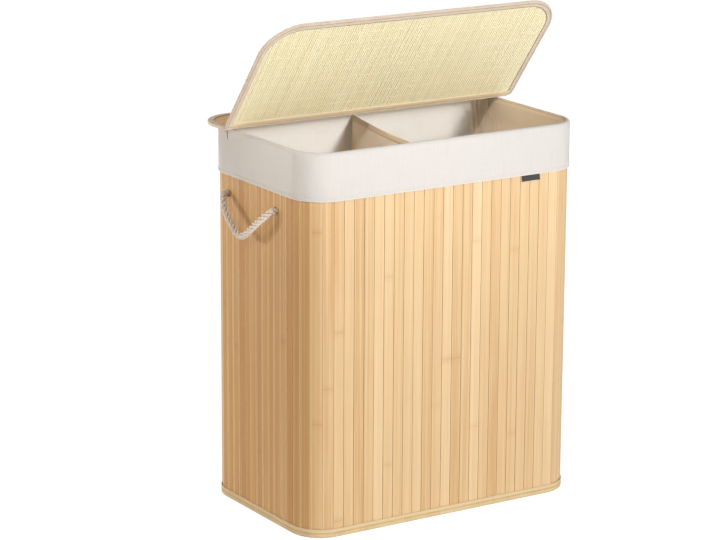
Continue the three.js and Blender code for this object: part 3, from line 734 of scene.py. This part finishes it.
def strip_sheet(name, line, depth, low, high, pitch, along_x, seed, finish,
                wander=0, gap=0.00035):
    """Strips side by side, cut to an outline. Their tone, place and curve differ a little."""
    chance = random.Random(seed)
    mesh = new_strips()
    reach = line.half_y if along_x else line.half_x
    length = 2 * (line.half_x if along_x else line.half_y)
    run_axis, side_axis = (0, 1) if along_x else (1, 0)
    turn = ((0, 0, 1), (-1, 0, 0), (0, -1, 0)) if along_x else ((1, 0, 0), (0, 0, 1), (0, -1, 0))
    count = math.ceil(2 * reach / pitch)
    for number in range(count):
        width = pitch - gap - chance.uniform(0, 1) * wander * 2
        shape = strip_shape(width, high - low, length, min(0.0005, (high - low) / 2.5))
        place = Vector((0, 0, (low + high) / 2))
        place[side_axis] = (number + 0.5 - count / 2) * pitch + chance.uniform(-1, 1) * wander
        placing = Matrix.Translation(place) @ Matrix(turn).to_4x4()
        add_strip(mesh, shape, seed * 100 + number, placing)
        bpy.data.meshes.remove(shape)
    if wander:
        long_edges = [edge for edge in mesh.edges if edge.calc_length() > length / 2]
        bmesh.ops.subdivide_edges(mesh, edges=long_edges, cuts=9, use_grid_fill=True)
        for vert in mesh.verts:
            row = round(vert.co[side_axis] / pitch - 0.5)
            bend = noise.noise(Vector((row * 1.7, vert.co[run_axis] * 22, seed)))
            vert.co[side_axis] += bend * wander * 2.2
    sheet = shown(name, mesh, finish)
    tool = shown(name + "_outline", slab(line, depth, low - 0.001, high + 0.001), finish)
    cut_with(sheet, tool, "INTERSECT")
    bpy.data.objects.remove(tool)
    return sheet


floor_strips = strip_sheet(
    "floor_mat_strips", wall_line, floor_depth, floor_low.z, floor_high.z, slat_pitch, False, 3,
    wall_bamboo,
)
dress(floor_strips, "bamboo_wall", "floor_mat")

cover_mesh = slab(wall_line, floor_depth, cover_low.z, cover_high.z)
cover_layer = cover_mesh.loops.layers.uv.new("cloth")
for face in cover_mesh.faces:
    for loop in face.loops:
        loop[cover_layer].uv = loop.vert.co.xy
floor_cover = shown("floor_cover", cover_mesh, backing_cloth)
dress(floor_cover, "backing_cloth", "floor_cover_cloth")

# Liner bag. A washable bag of off-white cotton hangs inside the wall. It is fuller than the wall,
# so it lies in loose folds, and it stands off the wall where the rope knots are behind it.
liner_outer = 0.0069
liner_thickness = 0.0008
liner_bevel = 0.009
liner_low, liner_high = (corner.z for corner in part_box("liner_bag"))
liner_below_rim = 0.0032
liner_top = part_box("liner_cuff")[1].z - liner_below_rim
liner_top_depth = 0.0086
slit_y = 0.0894
gather_reach = 0.05
gather_low = 0.5
liner_held = 0.598
knot_bulge = 0.013
knot_bulge_reach = 0.034
divider_shifts = (-0.006, 0.013)


def near_knots(point, level):
    """1 over a rope knot, falling to 0 at the reach of its bulge."""
    far = min(math.hypot(point.y - y, level - rope_level) for y in rope_holes_y)
    if abs(point.x) < 0.2 or far > knot_bulge_reach:
        return 0
    return (1 + math.cos(math.pi * far / knot_bulge_reach)) / 2


def liner_fold(point, level):
    """How far the bag moves at a point, inwards below zero."""
    sewn = abs(point.x - (divider_shifts[0] + divider_shifts[1]) / 2)
    free = clamp((sewn - 0.02) / 0.05) * clamp((liner_held - level) / 0.12)
    free *= clamp((level - liner_low - 0.004) / 0.05)
    around = Vector((point.x * 14, point.y * 14, level * 3.2))
    folds = 0.5 + 0.5 * noise.noise(around + Vector((9, 3, 1)))
    small = 0.5 + 0.5 * noise.noise(Vector((point.x * 40, point.y * 40, level * 14)))
    shift = -free * (folds * 0.007 + small * 0.0022) - near_knots(point, level) * knot_bulge

    # The elastic ties draw the cloth together in upright gathers below the slits.
    far = math.hypot(abs(point.x) - wall_half_width, point.y - slit_y - 0.012) / gather_reach
    if far < 1 and level > gather_low:
        drop = (liner_top - level) / (liner_top - gather_low)
        strength = (1 - far * far) * math.sin(math.pi * min(1, 0.12 + drop)) ** 0.7
        wave = math.sin(2 * math.pi * (point.y / 0.0085 + point.x / 0.012 + 3 * drop * far))
        shift -= strength * 0.0032 * (1 + wave * (1 - 0.5 * drop))
    return shift


liner_section = fine([
    (liner_top_depth, liner_top), (liner_top_depth, liner_high - 0.004),
    (liner_outer, liner_high - 0.016), (liner_outer, liner_low + liner_bevel),
], 0.006)
liner_section += arc(
    liner_outer + liner_bevel, liner_low + liner_bevel, liner_bevel, 2, 3, 4)[1:]
liner_section += fine(
    [(liner_outer + liner_bevel, liner_low), (wall_half_depth, liner_low)], 0.012)[1:]
# The liner's cloth at the two ends is tinted warmer and darker, painted shade as of light bounced
# inside the bins.
liner_cloth = woven(
    "liner_cloth", colour(253, 251, 247), colour(242, 237, 228), 0.0005, 0.3,
    painted_end_shade=colour(255, 236, 214),
)
liner_mesh = swept(wall_line, liner_section, 480, liner_fold)
liner_layer = liner_mesh.loops.layers.uv["cloth"]
for face in liner_mesh.faces:
    if abs(face.normal.z) > 0.8:
        for loop in face.loops:
            loop[liner_layer].uv = loop.vert.co.xy
liner = shown("liner_bag_cloth", liner_mesh, liner_cloth, True)
thicken(liner, liner_thickness)
dress(liner, "liner_cloth", "liner_bag")

# Cuff. The linen top of the liner turns out over the rim and hides the top tape. Its hem is sewn
# double, and a slit at each end of the lid's hinge lets an elastic tie through.
cuff_low, cuff_high = (corner.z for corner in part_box("liner_cuff"))
cuff_outer = wall_half_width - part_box("liner_cuff")[1].x
cuff_hem = 0.006
cuff_edge = 0.0003
cuff_step = 0.0003
cuff_thickness = 0.0007
cuff_inner = 0.0077
cuff_turn_in = 0.022
cuff_crown = (cuff_inner - cuff_outer - cuff_step) / 2
slit_depth = 0.017
slit_width = 0.0024


def cuff_ripple(point, level):
    """How far the cuff stands off, in soft swells that are lower inside the rim."""
    outside = 1 if level < cuff_high - 0.02 else 0.35
    swell = 0.5 + 0.5 * noise.noise(Vector((point.x * 16, point.y * 16, level * 20)))
    return outside * swell * 0.0004


cuff_single = cuff_outer + cuff_step
cuff_section = [Vector((cuff_outer + cuff_thickness, cuff_low + 0.0002))]
cuff_section += fine([
    (cuff_outer, cuff_low), (cuff_outer, cuff_low + cuff_edge),
    (cuff_outer, cuff_low + cuff_hem - cuff_edge), (cuff_outer, cuff_low + cuff_hem),
], 0.003)
cuff_section += fine([
    (cuff_single, cuff_low + cuff_hem + cuff_edge), (cuff_single, cuff_low + cuff_hem + 0.0008),
    (cuff_single, cuff_high - cuff_crown),
], 0.005)
cuff_section += arc(
    cuff_single + cuff_crown, cuff_high - cuff_crown, cuff_crown, 2, 0, 8)[1:]
cuff_section += fine(
    [(cuff_inner, cuff_high - cuff_crown), (cuff_inner, cuff_high - cuff_turn_in)], 0.005)[1:]
# The lighter band along the hem's lower edge is a painted highlight, and the warm tan inside the
# crown is painted shade.
cuff_linen = woven(
    "cuff_linen", colour(216, 213, 210), colour(192, 190, 187), 0.0007, 0.35,
    marks=((0.0034, 0.0042, -0.8),), soft_share=0.08,
    inside=(0.0815, colour(226, 208, 184)),
    hem=(0.0077, colour(226, 223, 219), colour(210, 207, 202)),
)
cuff = shown("cuff", swept(wall_line, cuff_section, 528, cuff_ripple), cuff_linen, True)
thicken(cuff, cuff_thickness)
slit_tool = bmesh.new()
for side in (-1, 1):
    place = Matrix.Translation((side * wall_half_width, slit_y, cuff_high))
    size = Matrix.Diagonal((0.05, slit_width, 2 * slit_depth, 1))
    bmesh.ops.create_cube(slit_tool, size=1, matrix=place @ size)
slit_tool = shown("slit_tool", slit_tool, cuff_linen)
cut_with(cuff, slit_tool)
cut_with(liner, slit_tool)
bpy.data.objects.remove(slit_tool)
hem_stitches = bmesh.new()
stitch_row(hem_stitches, wall_line, cuff_outer - 0.0004, cuff_low + cuff_hem - 0.0009)
hem_stitches = shown("cuff_hem_stitches", hem_stitches, linen_thread, True)
dress(cuff, "linen_cuff", "liner_cuff")
dress(hem_stitches, "linen_cuff")
cuff_flat = (wall_line.length, run_length(cuff_section))

# Divider. A cotton wall sewn into the bag parts the two bins. It stands a little askew, and its
# hemmed top edge sags between the front and the rear.
divider_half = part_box("liner_divider")[1].y
divider_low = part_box("liner_divider")[0].z
divider_drops = (0.025, 0.017)
divider_sag = 0.006
divider_thickness = 0.0012
divider_hem = 0.009


def divider_place(along, level_share):
    """A point of the divider's middle, by its share of the run and of the height."""
    across = 2 * along - 1
    top = cuff_high - divider_drops[0] - along * (divider_drops[1] - divider_drops[0])
    top -= divider_sag * (1 - across * across)
    level = divider_low + level_share * (top - divider_low)
    foot = max(0, liner_bevel - (level - divider_low)) * (1 if abs(across) > 0.9 else 0)
    y = across * (divider_half - foot)
    x = divider_shifts[0] + along * (divider_shifts[1] - divider_shifts[0])
    slack = (1 - across * across) * min(1, (1 - level_share) * 6) * min(1, level_share * 5)
    x += slack * 0.007 * noise.noise(Vector((along * 3, level_share * 3.5, 2)))
    x += slack * 0.002 * noise.noise(Vector((along * 9, level_share * 4, 7)))
    return Vector((x, y, level))


# The divider's cotton is the liner's cloth tinted warm, painted warm shade as of light bounced
# inside the bins.
divider_cotton = woven(
    "divider_cotton", colour(254, 227, 214), colour(242, 208, 191), 0.0005, 0.2,
    Subsurface_Weight=0.7, Subsurface_Radius=(1, 0.6, 0.35), Subsurface_Scale=0.006,
)
divider_flat = (2 * divider_half, cuff_high - divider_low)
divider_mesh = cloth_grid(80, 150, divider_flat, divider_place)
divider = shown("divider_cloth", divider_mesh, divider_cotton, True)
thicken(divider, divider_thickness, 0)
hem_half = 0.0012
hem_fold = fine([(-hem_half, -divider_hem), (-hem_half, -hem_half)], 0.0026)
hem_fold += arc(0, -hem_half, hem_half, 2, 0)
hem_fold += fine([(hem_half, -hem_half), (hem_half, -divider_hem)], 0.0026)[1:]
hem_rows = len(hem_fold) - 1


def hem_place(u, v):
    side, level = hem_fold[round(v * hem_rows)]
    return divider_place(u, 1) + Vector((side, 0, level))


hem_mesh = cloth_grid(80, hem_rows, (2 * divider_half, 2 * divider_hem), hem_place)
weld(hem_mesh)
face_outward(hem_mesh)
# The lighter line along the rounded top of the hem is a painted highlight.
divider_tape = woven(
    "divider_tape", colour(242, 222, 196), colour(222, 198, 168), 0.0005, 0.3,
    marks=((divider_hem, 0.0014, -0.8),),
)
divider_hem_band = shown("divider_hem", hem_mesh, divider_tape, True)
thicken(divider_hem_band, 0.0005)
divider_stitches = bmesh.new()
divider_stitch_count = round(2 * divider_half / (stitch_length + stitch_gap))
for number in range(1, divider_stitch_count):
    spot = divider_place(number / divider_stitch_count, 1)
    for side in (-1, 1):
        place = Matrix.Translation(spot + Vector((side * hem_half, 0, hem_half - divider_hem)))
        shape = Matrix.Diagonal((stitch_radius, stitch_length / 2, stitch_radius, 1))
        bmesh.ops.create_icosphere(
            divider_stitches, subdivisions=1, radius=1, matrix=place @ shape)
divider_stitches = shown("divider_stitches", divider_stitches, linen_thread, True)
dress(divider, "liner_cloth", "liner_divider")
divider_parts = [divider_hem_band, divider_stitches]
for piece in divider_parts:
    dress(piece, "liner_cloth")

# Label. A short black satin ribbon, folded double, is sewn in under the cuff's hem near the right
# end of the front. It is left bare.
label_low, label_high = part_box("label_tab")
label_thickness = 0.00025
label_round = (label_high.y - label_low.y) / 2
label_middle = (label_high.y + label_low.y) / 2
label_fold = label_low.z + label_round
label_seam = 0.544
label_section = fine([(-label_round, label_high.z), (-label_round, label_fold)], 0.001)
label_section += arc(0, label_fold, label_round, 2, 4)[1:]
label_section += fine([(label_round, label_fold), (label_round, label_high.z)], 0.001)[1:]
label_rows = len(label_section) - 1
label_width = label_high.x - label_low.x
label_flat = run_length(label_section)


def label_place(u, v):
    shift, level = label_section[round(v * label_rows)]
    curl = max(0, label_seam - level) * (abs(2 * u - 1) ** 3 * 0.16 + 0.05)
    return Vector((label_low.x + u * label_width, label_middle + shift - curl, level))


def wave(turns):
    """A wave from 0 to 1 and back in each turn."""
    return sine(turns * (2 * math.pi)) * 0.5 + 0.5


satin, satin_start = new_finish("label_satin", 0.45)
satin_u, satin_v = satin_start.uv("cloth")
satin_ribs = wave(satin_v / 0.00045)
satin_warp = wave(satin_u / 0.0003)
satin_edge = abs(satin_u - label_width / 2)
satin_edge = satin_edge.between(label_width / 2 - 0.0012, label_width / 2 - 0.0007)
satin_lint = satin_start.grit(satin_u * 900, satin_v * 900, 2, 2)
satin_tone = satin_ribs * 0.3 + satin_lint * 0.5 + satin_edge * 0.35
set_surface(
    satin_start,
    Base_Color=satin_tone.between(0.1, 1.1).pick(colour(15, 15, 16), colour(44, 44, 47)),
    Normal=bump(satin_ribs + satin_warp * 0.5, 0.00006), Roughness=satin_lint * 0.3 + 0.3,
)
label_mesh = cloth_grid(24, label_rows, (label_width, label_flat), label_place)
face_outward(label_mesh)
label = shown("bare_label", label_mesh, satin, True)
thicken(label, label_thickness)
dress(label, "label", "label_tab")

# Rope handles. A three-strand cotton rope goes through two holes in each end wall and is knotted
# behind it, so that a loop hangs outside as a handle. The loop's ends turn in the holes.
strand_offset = 0.0031
strand_radius = 0.0026
rope_lay = 0.028
rope_drop = 0.053
rope_stand_off = 0.014
rope_pivot_x = 0.2646
knot_face_x = 0.2545
knot_length = 0.013
knot_strands = (0.0041, 0.0048, 0.021)
rope_step = 0.0018
rope_middle_y = sum(rope_holes_y) / 2
rope_half_span = (rope_holes_y[1] - rope_holes_y[0]) / 2
rope_loop_shares = [
    (0, 1, 1), (0.1, 0.985, 1), (0.22, 0.9, 1), (0.4, 0.72, 0.985), (0.55, 0.56, 0.94),
    (0.7, 0.385, 0.81), (0.85, 0.2, 0.53), (0.95, 0.07, 0.21), (1, 0, 0),
]


def smooth_path(points, step):
    """A smooth line through points, as points about a step apart."""
    line = [points[0]]
    for number in range(len(points) - 1):
        before, start, end, after = (
            points[max(0, min(len(points) - 1, number + shift))] for shift in (-1, 0, 1, 2)
        )
        third = (end - start).length / 3
        leave = start + (end - before).normalized() * third
        arrive = end - (after - start).normalized() * third
        count = max(2, round((end - start).length / step) + 1)
        line += mathutils.geometry.interpolate_bezier(start, leave, arrive, end, count)[1:]
    return line


def closed_tube(rows, length, place):
    """A round skin with its seam joined and its two ends closed."""
    mesh = cloth_grid(12, rows, (1, length), place)
    weld(mesh, 0.00001)
    bmesh.ops.holes_fill(mesh, edges=[edge for edge in mesh.edges if edge.is_boundary])
    face_outward(mesh)
    return mesh


def twisted(points, offset, radius, lay, shape=lambda share: 1):
    """Three strands laid round a line. Their size follows shape, from one end to the other."""
    frames = []
    side = Vector((0, 0, 1))
    run = 0
    for number, point in enumerate(points):
        ahead = points[min(number + 1, len(points) - 1)]
        behind = points[max(number - 1, 0)]
        along = (ahead - behind).normalized()
        side = (side - along * side.dot(along)).normalized()
        frames.append((point, side, along.cross(side), run))
        run += (ahead - point).length
    rows = len(points) - 1
    mesh = bmesh.new()
    for strand in range(3):

        def strand_place(u, v):
            point, side, up, run = frames[round(v * rows)]
            size = shape(v)
            turn = 2 * math.pi * (strand / 3 + run / lay)
            centre = (side * math.cos(turn) + up * math.sin(turn)) * offset * size
            skin = turn + 2 * math.pi * u
            out = (side * math.cos(skin) + up * math.sin(skin)) * radius * size
            return point + centre + out

        part = closed_tube(rows, run, strand_place)
        data = bpy.data.meshes.new("strand")
        part.to_mesh(data)
        part.free()
        mesh.from_mesh(data)
        bpy.data.meshes.remove(data)
    return mesh


rope_finish, rope_start = new_finish("rope_cotton", 0.92, 0.2)
rope_u, rope_v = rope_start.uv("cloth")
rope_yarns = wave(rope_u * 7 + rope_v * 160)
rope_fluff = rope_start.specks(900)
rope_fibres = rope_start.grit(rope_u * 60 + rope_v * 1400, rope_v * 260, 4, 2)
rope_tone = (1 - rope_yarns) * 0.35 + rope_fibres * 0.45 + rope_fluff * 0.35
set_surface(
    rope_start,
    Base_Color=rope_tone.between(0.15, 1.05).pick(colour(255, 251, 245), colour(226, 210, 190)),
    Normal=bump(rope_yarns * 0.6 + rope_fibres * 0.5 + rope_fluff * 0.3, 0.0005),
    Sheen_Weight=0.2, Sheen_Roughness=0.6,
)
for side, sign in (("left", -1), ("right", 1)):
    half_loop = [
        Vector((sign * (rope_pivot_x + out * rope_stand_off), span * rope_half_span,
                rope_level - drop * rope_drop))
        for span, drop, out in rope_loop_shares
    ]
    for past_knot, beside in ((0.003, 0.0012), (-0.002, 0.0014)):
        half_loop.append(
            Vector((sign * (knot_face_x + past_knot), rope_half_span + beside, rope_level)))
    loop_points = [Vector((point.x, -point.y, point.z)) for point in half_loop[:0:-1]] + half_loop
    loop_points = [point + Vector((0, rope_middle_y, 0)) for point in loop_points]
    rope_path = smooth_path(loop_points, rope_step)
    rope = shown(
        side + "_rope", twisted(rope_path, strand_offset, strand_radius, rope_lay),
        rope_finish, True,
    )
    for hole, hole_y in zip(("front", "rear"), rope_holes_y):
        run = [
            Vector((sign * (knot_face_x - knot_length * step / 14), hole_y, rope_level))
            for step in range(15)
        ]
        knot = shown(side + "_rope_stopper_" + hole, twisted(
            run, *knot_strands,
            lambda share: 0.62 + 0.38 * math.sin(math.pi * min(1, share * 1.15 + 0.08)),
        ), rope_finish, True)
        dress(knot, "rope", side + "_rope_knot_" + hole)
    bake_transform(rope)
    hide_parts(side + "_rope_loop")
    run_length(rope_path)

# Lid. A fixed rear strip and a front flap are alike: bamboo slats on top and a mat of fine reeds
# below, with a folded cotton tape sewn round their edges.
lid_half_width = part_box("lid_strip_binding")[1].x
strip_low, strip_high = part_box("lid_strip_binding")
lid_thickness = strip_high.z - strip_low.z
hinge_joint = next(joint for joint in frame["joints"] if joint["name"] == "lid_hinge")
hinge_place = Vector(hinge_joint["pos_m"])
lid_rest = math.radians(51.7)
hinge_above_panel = 0.00095
hinge_edge_gap = 0.0006
flap_half_length = 0.11625
lid_corner = 0.064
lid_hinge_corner = 0.007
binding_width = 0.011
binding_thickness = 0.0006
binding_round = 0.0012
reed_low = 0.0009
reed_high = 0.0021
lid_slat_low = 0.0024
lid_slat_high = 0.0041
reed_pitch = 0.004
panel_inset = 0.0009

strip_line = RoundLine(
    lid_half_width, (strip_high.y - strip_low.y) / 2, lid_hinge_corner, lid_corner)
flap_line = RoundLine(lid_half_width, flap_half_length, lid_corner, lid_hinge_corner)
strip_matrix = Matrix.Translation((0, (strip_low.y + strip_high.y) / 2, strip_low.z))
hinge_to_flap = Matrix.Translation(hinge_place) @ Matrix.Rotation(-lid_rest, 4, "X")
flap_matrix = hinge_to_flap @ Matrix.Translation(
    (0, -hinge_edge_gap - flap_half_length, -lid_thickness - hinge_above_panel))

lid_bamboo = bamboo(
    "lid_bamboo", colour(227, 182, 112), colour(211, 160, 89), colour(184, 130, 65),
    colour(146, 93, 43), 0.00008,
)
# The reeds' short dark dashes are painted shade of the gaps between them.
reeds = bamboo(
    "reeds", colour(254, 247, 213), colour(252, 244, 206), colour(241, 228, 182),
    colour(150, 124, 78), 0.0001, colour(255, 250, 240), painted_gap_shade=0.6,
)
# The first mark is painted shade along the crease where the tape turns round the lid's edge; the
# second is a dark line along the middle of the face.
binding_marks = ((0.0106, 0.0009, 0.5), (0.0046, 0.001, 0.6))
# Along the flap's hinge side the tape is painted lighter and golden, painted light where that
# binding lies in shade.
lid_tape = woven(
    "lid_tape", colour(226, 211, 193), colour(196, 174, 153), 0.0007, 0.3, binding_marks,
    painted_lit_stretch=(flap_line.length / 2, 0.28, colour(233, 212, 178), colour(213, 190, 153)),
)
# The rear strip's tape is the lid's tape painted lighter, painted light where the strip lies in
# shade.
strip_tape = woven(
    "strip_tape", colour(240, 224, 204), colour(216, 196, 172), 0.0007, 0.3, binding_marks)
binding_section = fine([(binding_width, lid_thickness), (binding_round, lid_thickness)], 0.0025)
binding_section += arc(
    binding_round, lid_thickness - binding_round, binding_round, 1, 2, 4)[1:]
binding_section.append(Vector((0.0005, lid_thickness / 2)))
binding_section += arc(binding_round, binding_round, binding_round, 2, 3, 4)
binding_section += fine([(binding_round, 0), (binding_width, 0)], 0.0025)[1:]


def chord_half(line, y, inset):
    """Half the width of a lid panel at a distance from its middle."""
    points = [line.at(share * line.length / 400, inset)[0] for share in range(400)]
    near = [abs(point.x) for point in points if abs(point.y - y) < 0.002]
    return max(near, default=0)


stitch_inset = 0.002
stitch_sunk = 0.00012
weft_pitch = 0.021
weft_radius = 0.00022
weft_thread = thread_finish("weft_thread", colour(248, 240, 214))

for name, line, matrix, body, seed, edge_tape in (
    ("lid_strip", strip_line, strip_matrix, "hamper_body", 11, strip_tape),
    ("lid_flap", flap_line, flap_matrix, "lid_flap", 12, lid_tape),
):
    slats = strip_sheet(name + "_strips", line, panel_inset, lid_slat_low, lid_slat_high,
                        slat_pitch, True, seed, lid_bamboo)
    mat = strip_sheet(name + "_reeds", line, panel_inset, reed_low, reed_high,
                      reed_pitch, False, seed + 20, reeds, 0.00012, 0.00022)
    wefts = bmesh.new()
    for row in range(-8, 9):
        reach = chord_half(line, row * weft_pitch, binding_width - stitch_inset)
        if reach > 0.02:
            place = (0, row * weft_pitch, reed_low + weft_radius * 0.3)
            rod(wefts, place, weft_radius, 2 * reach, 6)
    wefts = shown(name + "_wefts", wefts, weft_thread)
    binding_mesh = swept(line, binding_section[::-1], 420)
    binding = shown(name + "_edge_tape", binding_mesh, edge_tape, True)
    thicken(binding, binding_thickness)
    stitches = bmesh.new()
    for level in (stitch_sunk, lid_thickness - stitch_sunk):
        stitch_row(stitches, line, binding_width - stitch_inset, level)
    stitches = shown(name + "_stitches", stitches, tape_thread, True)
    for piece, *names in (
        (wefts, "reed_mat"), (slats, "bamboo_lid", name + "_slats"),
        (mat, "reed_mat", name + "_reed_mat"), (binding, "lid_tape", name + "_binding"),
        (stitches, "lid_tape"),
    ):
        piece.data.transform(matrix)
        dress(piece, *names, body=body)

# Lid hinge. A cotton tape is glued across the fold on top, half on the strip and half on the
# flap, and is shaped folded at the angle at which the flap rests.
hinge_leaf = 0.012
hinge_tape_thickness = 0.0005
hinge_tape_half = 0.27
hinge_face = -0.0004
leaf_run = fine([(hinge_leaf, hinge_face), (0.0012, hinge_face)], 0.0009)
flap_leaf = [Matrix.Rotation(-lid_rest, 3, "X") @ Vector((0, -y, z)) for y, z in leaf_run]
fold = [Vector((y, z)) for y, z in leaf_run]
fold.append(Vector((0, hinge_face * 0.6)))
fold += [leaf.yz for leaf in reversed(flap_leaf)]
fold_rows = len(fold) - 1
fold_flat = (2 * hinge_tape_half, run_length(fold))


def fold_place(u, v):
    y, z = fold[round(v * fold_rows)]
    return hinge_place + Vector(((2 * u - 1) * hinge_tape_half, y, z))


hinge_mesh = cloth_grid(200, fold_rows, fold_flat, fold_place)
hinge_tape = shown("lid_hinge_tape", hinge_mesh, lid_tape, True)
thicken(hinge_tape, hinge_tape_thickness, 0)
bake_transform(hinge_tape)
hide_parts("lid_strip_hinge_leaf", "lid_flap_hinge_leaf")

# Lid ties. A short elastic cord at each end of the hinge comes up through the cuff's slit, knotted
# below, and holds the rear strip down on the rim.
elastic_finish, elastic_start = new_finish("elastic_cover", 0.8, 0.3)
elastic_u, elastic_v = elastic_start.uv("cloth")
plait = sine((elastic_u * 6 + elastic_v * 1400) * (2 * math.pi))
plait = plait * sine((elastic_u * 6 - elastic_v * 1400) * (2 * math.pi)) * 0.5 + 0.5
set_surface(
    elastic_start, Base_Color=plait.pick(colour(214, 210, 200), colour(243, 240, 231)),
    Normal=bump(plait, 0.0001),
)
tie_radius = 0.0007
for side, sign in (("left", -1), ("right", 1)):
    tie_low, tie_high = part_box(side + "_lid_tie")
    tie_middle = (tie_low + tie_high) / 2
    knot_wide = (tie_high.x - tie_low.x) / 2
    knot_level = tie_low.z + 0.003 + knot_wide

    def tie_place(u, v):
        level = tie_low.z + v * (tie_high.z - tie_low.z)
        far = min(1, abs(level - knot_level) / knot_wide)
        radius = tie_radius + (knot_wide - tie_radius) * math.sqrt(1 - far * far)
        radius *= 1 - 0.12 * (1 - far) * math.cos(3 * 2 * math.pi * (u + level / 0.003))
        angle = 2 * math.pi * u
        return Vector((tie_middle.x + radius * math.cos(angle),
                       tie_middle.y + radius * math.sin(angle), level))

    tie_mesh = closed_tube(80, tie_high.z - tie_low.z, tie_place)
    tie = shown(side + "_elastic_tie", tie_mesh, elastic_finish, True)
    dress(tie, "elastic", side + "_lid_tie")

# Studio. A white floor and surround. A large lamp before the front has a low one under it and a
# beam on the lid. Warm light comes from off the left end, with a beam into the bins, and a small
# lamp behind that end grazes the wall.
surround_light = 0.15
floor_white = 1.16
floor_white_share = 0.86
neutral, warm = (1, 0.985, 0.965), (1, 0.88, 0.76)
body_aim, lid_aim, bin_aim = (0, 0, 0.45), (0, 0, 0.74), (0.02, -0.02, 0.57)
area_lamps = (
    ("key_lamp", (1.4, -7.85, 3.18), (1.3, 1.5), 360, neutral),
    ("low_lamp", (0.5, -4, 0.85), (1.2, 0.3), 35, neutral),
    ("warm_lamp", (-3.42, -1.24, 2.55), (1, 1), 27, warm),
    ("top_lamp", (-0.9, 1.6, 3.4), (1.2, 1.2), 31, (1, 0.97, 0.93)),
    ("rim_lamp", (-2, 2.4, 0.75), (0.2, 0.2), 37, (1, 0.93, 0.84)),
)
beam_lamps = (
    ("high_lamp", (0.85, -4.75, 2.1), 0.25, 216, (0.97, 1, 1), lid_aim, math.radians(13)),
    ("inner_lamp", (-3.55, -1.36, 2.32), 0.075, 160, warm, bin_aim, math.radians(6)),
)


def lamp(kind, name, place, power, tint, aim):
    """A lamp at a place, turned to what it is aimed at. Returns its data."""
    made = bpy.data.objects.new(name, bpy.data.lights.new(name, kind))
    made.data.energy = power
    made.data.color = tint
    made.location = place
    made.rotation_euler = (Vector(aim) - Vector(place)).to_track_quat("-Z", "Y").to_euler()
    bpy.context.collection.objects.link(made)
    return made.data


def looked_at(start):
    """1 wherever the camera or a mirror looks straight at a surface."""
    path = start.node("ShaderNodeLightPath")
    return path.math("MAXIMUM", path, path.math("MAXIMUM", path.other(3), path.other(6)))


def glow(start, kind, tint, strength):
    return start.node(kind, {}, {"Color": (*tint, 1), "Strength": strength})


for name, place, size, power, tint in area_lamps:
    light = lamp("AREA", name, place, power, tint, body_aim)
    light.shape = "RECTANGLE"
    light.size, light.size_y = size
for name, place, radius, power, tint, aim, beam in beam_lamps:
    light = lamp("SPOT", name, place, power, tint, aim)
    light.spot_size = beam
    light.spot_blend = 1
    light.shadow_soft_size = radius

world = bpy.data.worlds.new("surround")
world.use_nodes = True
bpy.context.scene.world = world
surround = Shade(world.node_tree)
surround_mix = surround.node("ShaderNodeMixShader", {}, {
    0: looked_at(surround),
    1: glow(surround, "ShaderNodeBackground", (1, 0.98, 0.95), surround_light),
    2: glow(surround, "ShaderNodeBackground", (1, 1, 1), 1),
})
surround.feed(world.node_tree.nodes["World Output"].inputs[0], surround_mix)

floor_mesh = bmesh.new()
bmesh.ops.create_grid(floor_mesh, x_segments=1, y_segments=1, size=6)
floor_finish, floor_start = new_finish("floor_white", 0.9)
floor_mix = floor_start.node("ShaderNodeMixShader", {}, {
    0: looked_at(floor_start) * floor_white_share,
    1: floor_start.node("ShaderNodeBsdfDiffuse", {}, {"Color": (0.9, 0.9, 0.9, 1)}),
    2: glow(floor_start, "ShaderNodeEmission", (1, 1, 1), floor_white),
})
floor_start.feed(floor_finish.node_tree.nodes["Material Output"].inputs[0], floor_mix)
studio_floor = shown("studio_floor", floor_mesh, floor_finish)
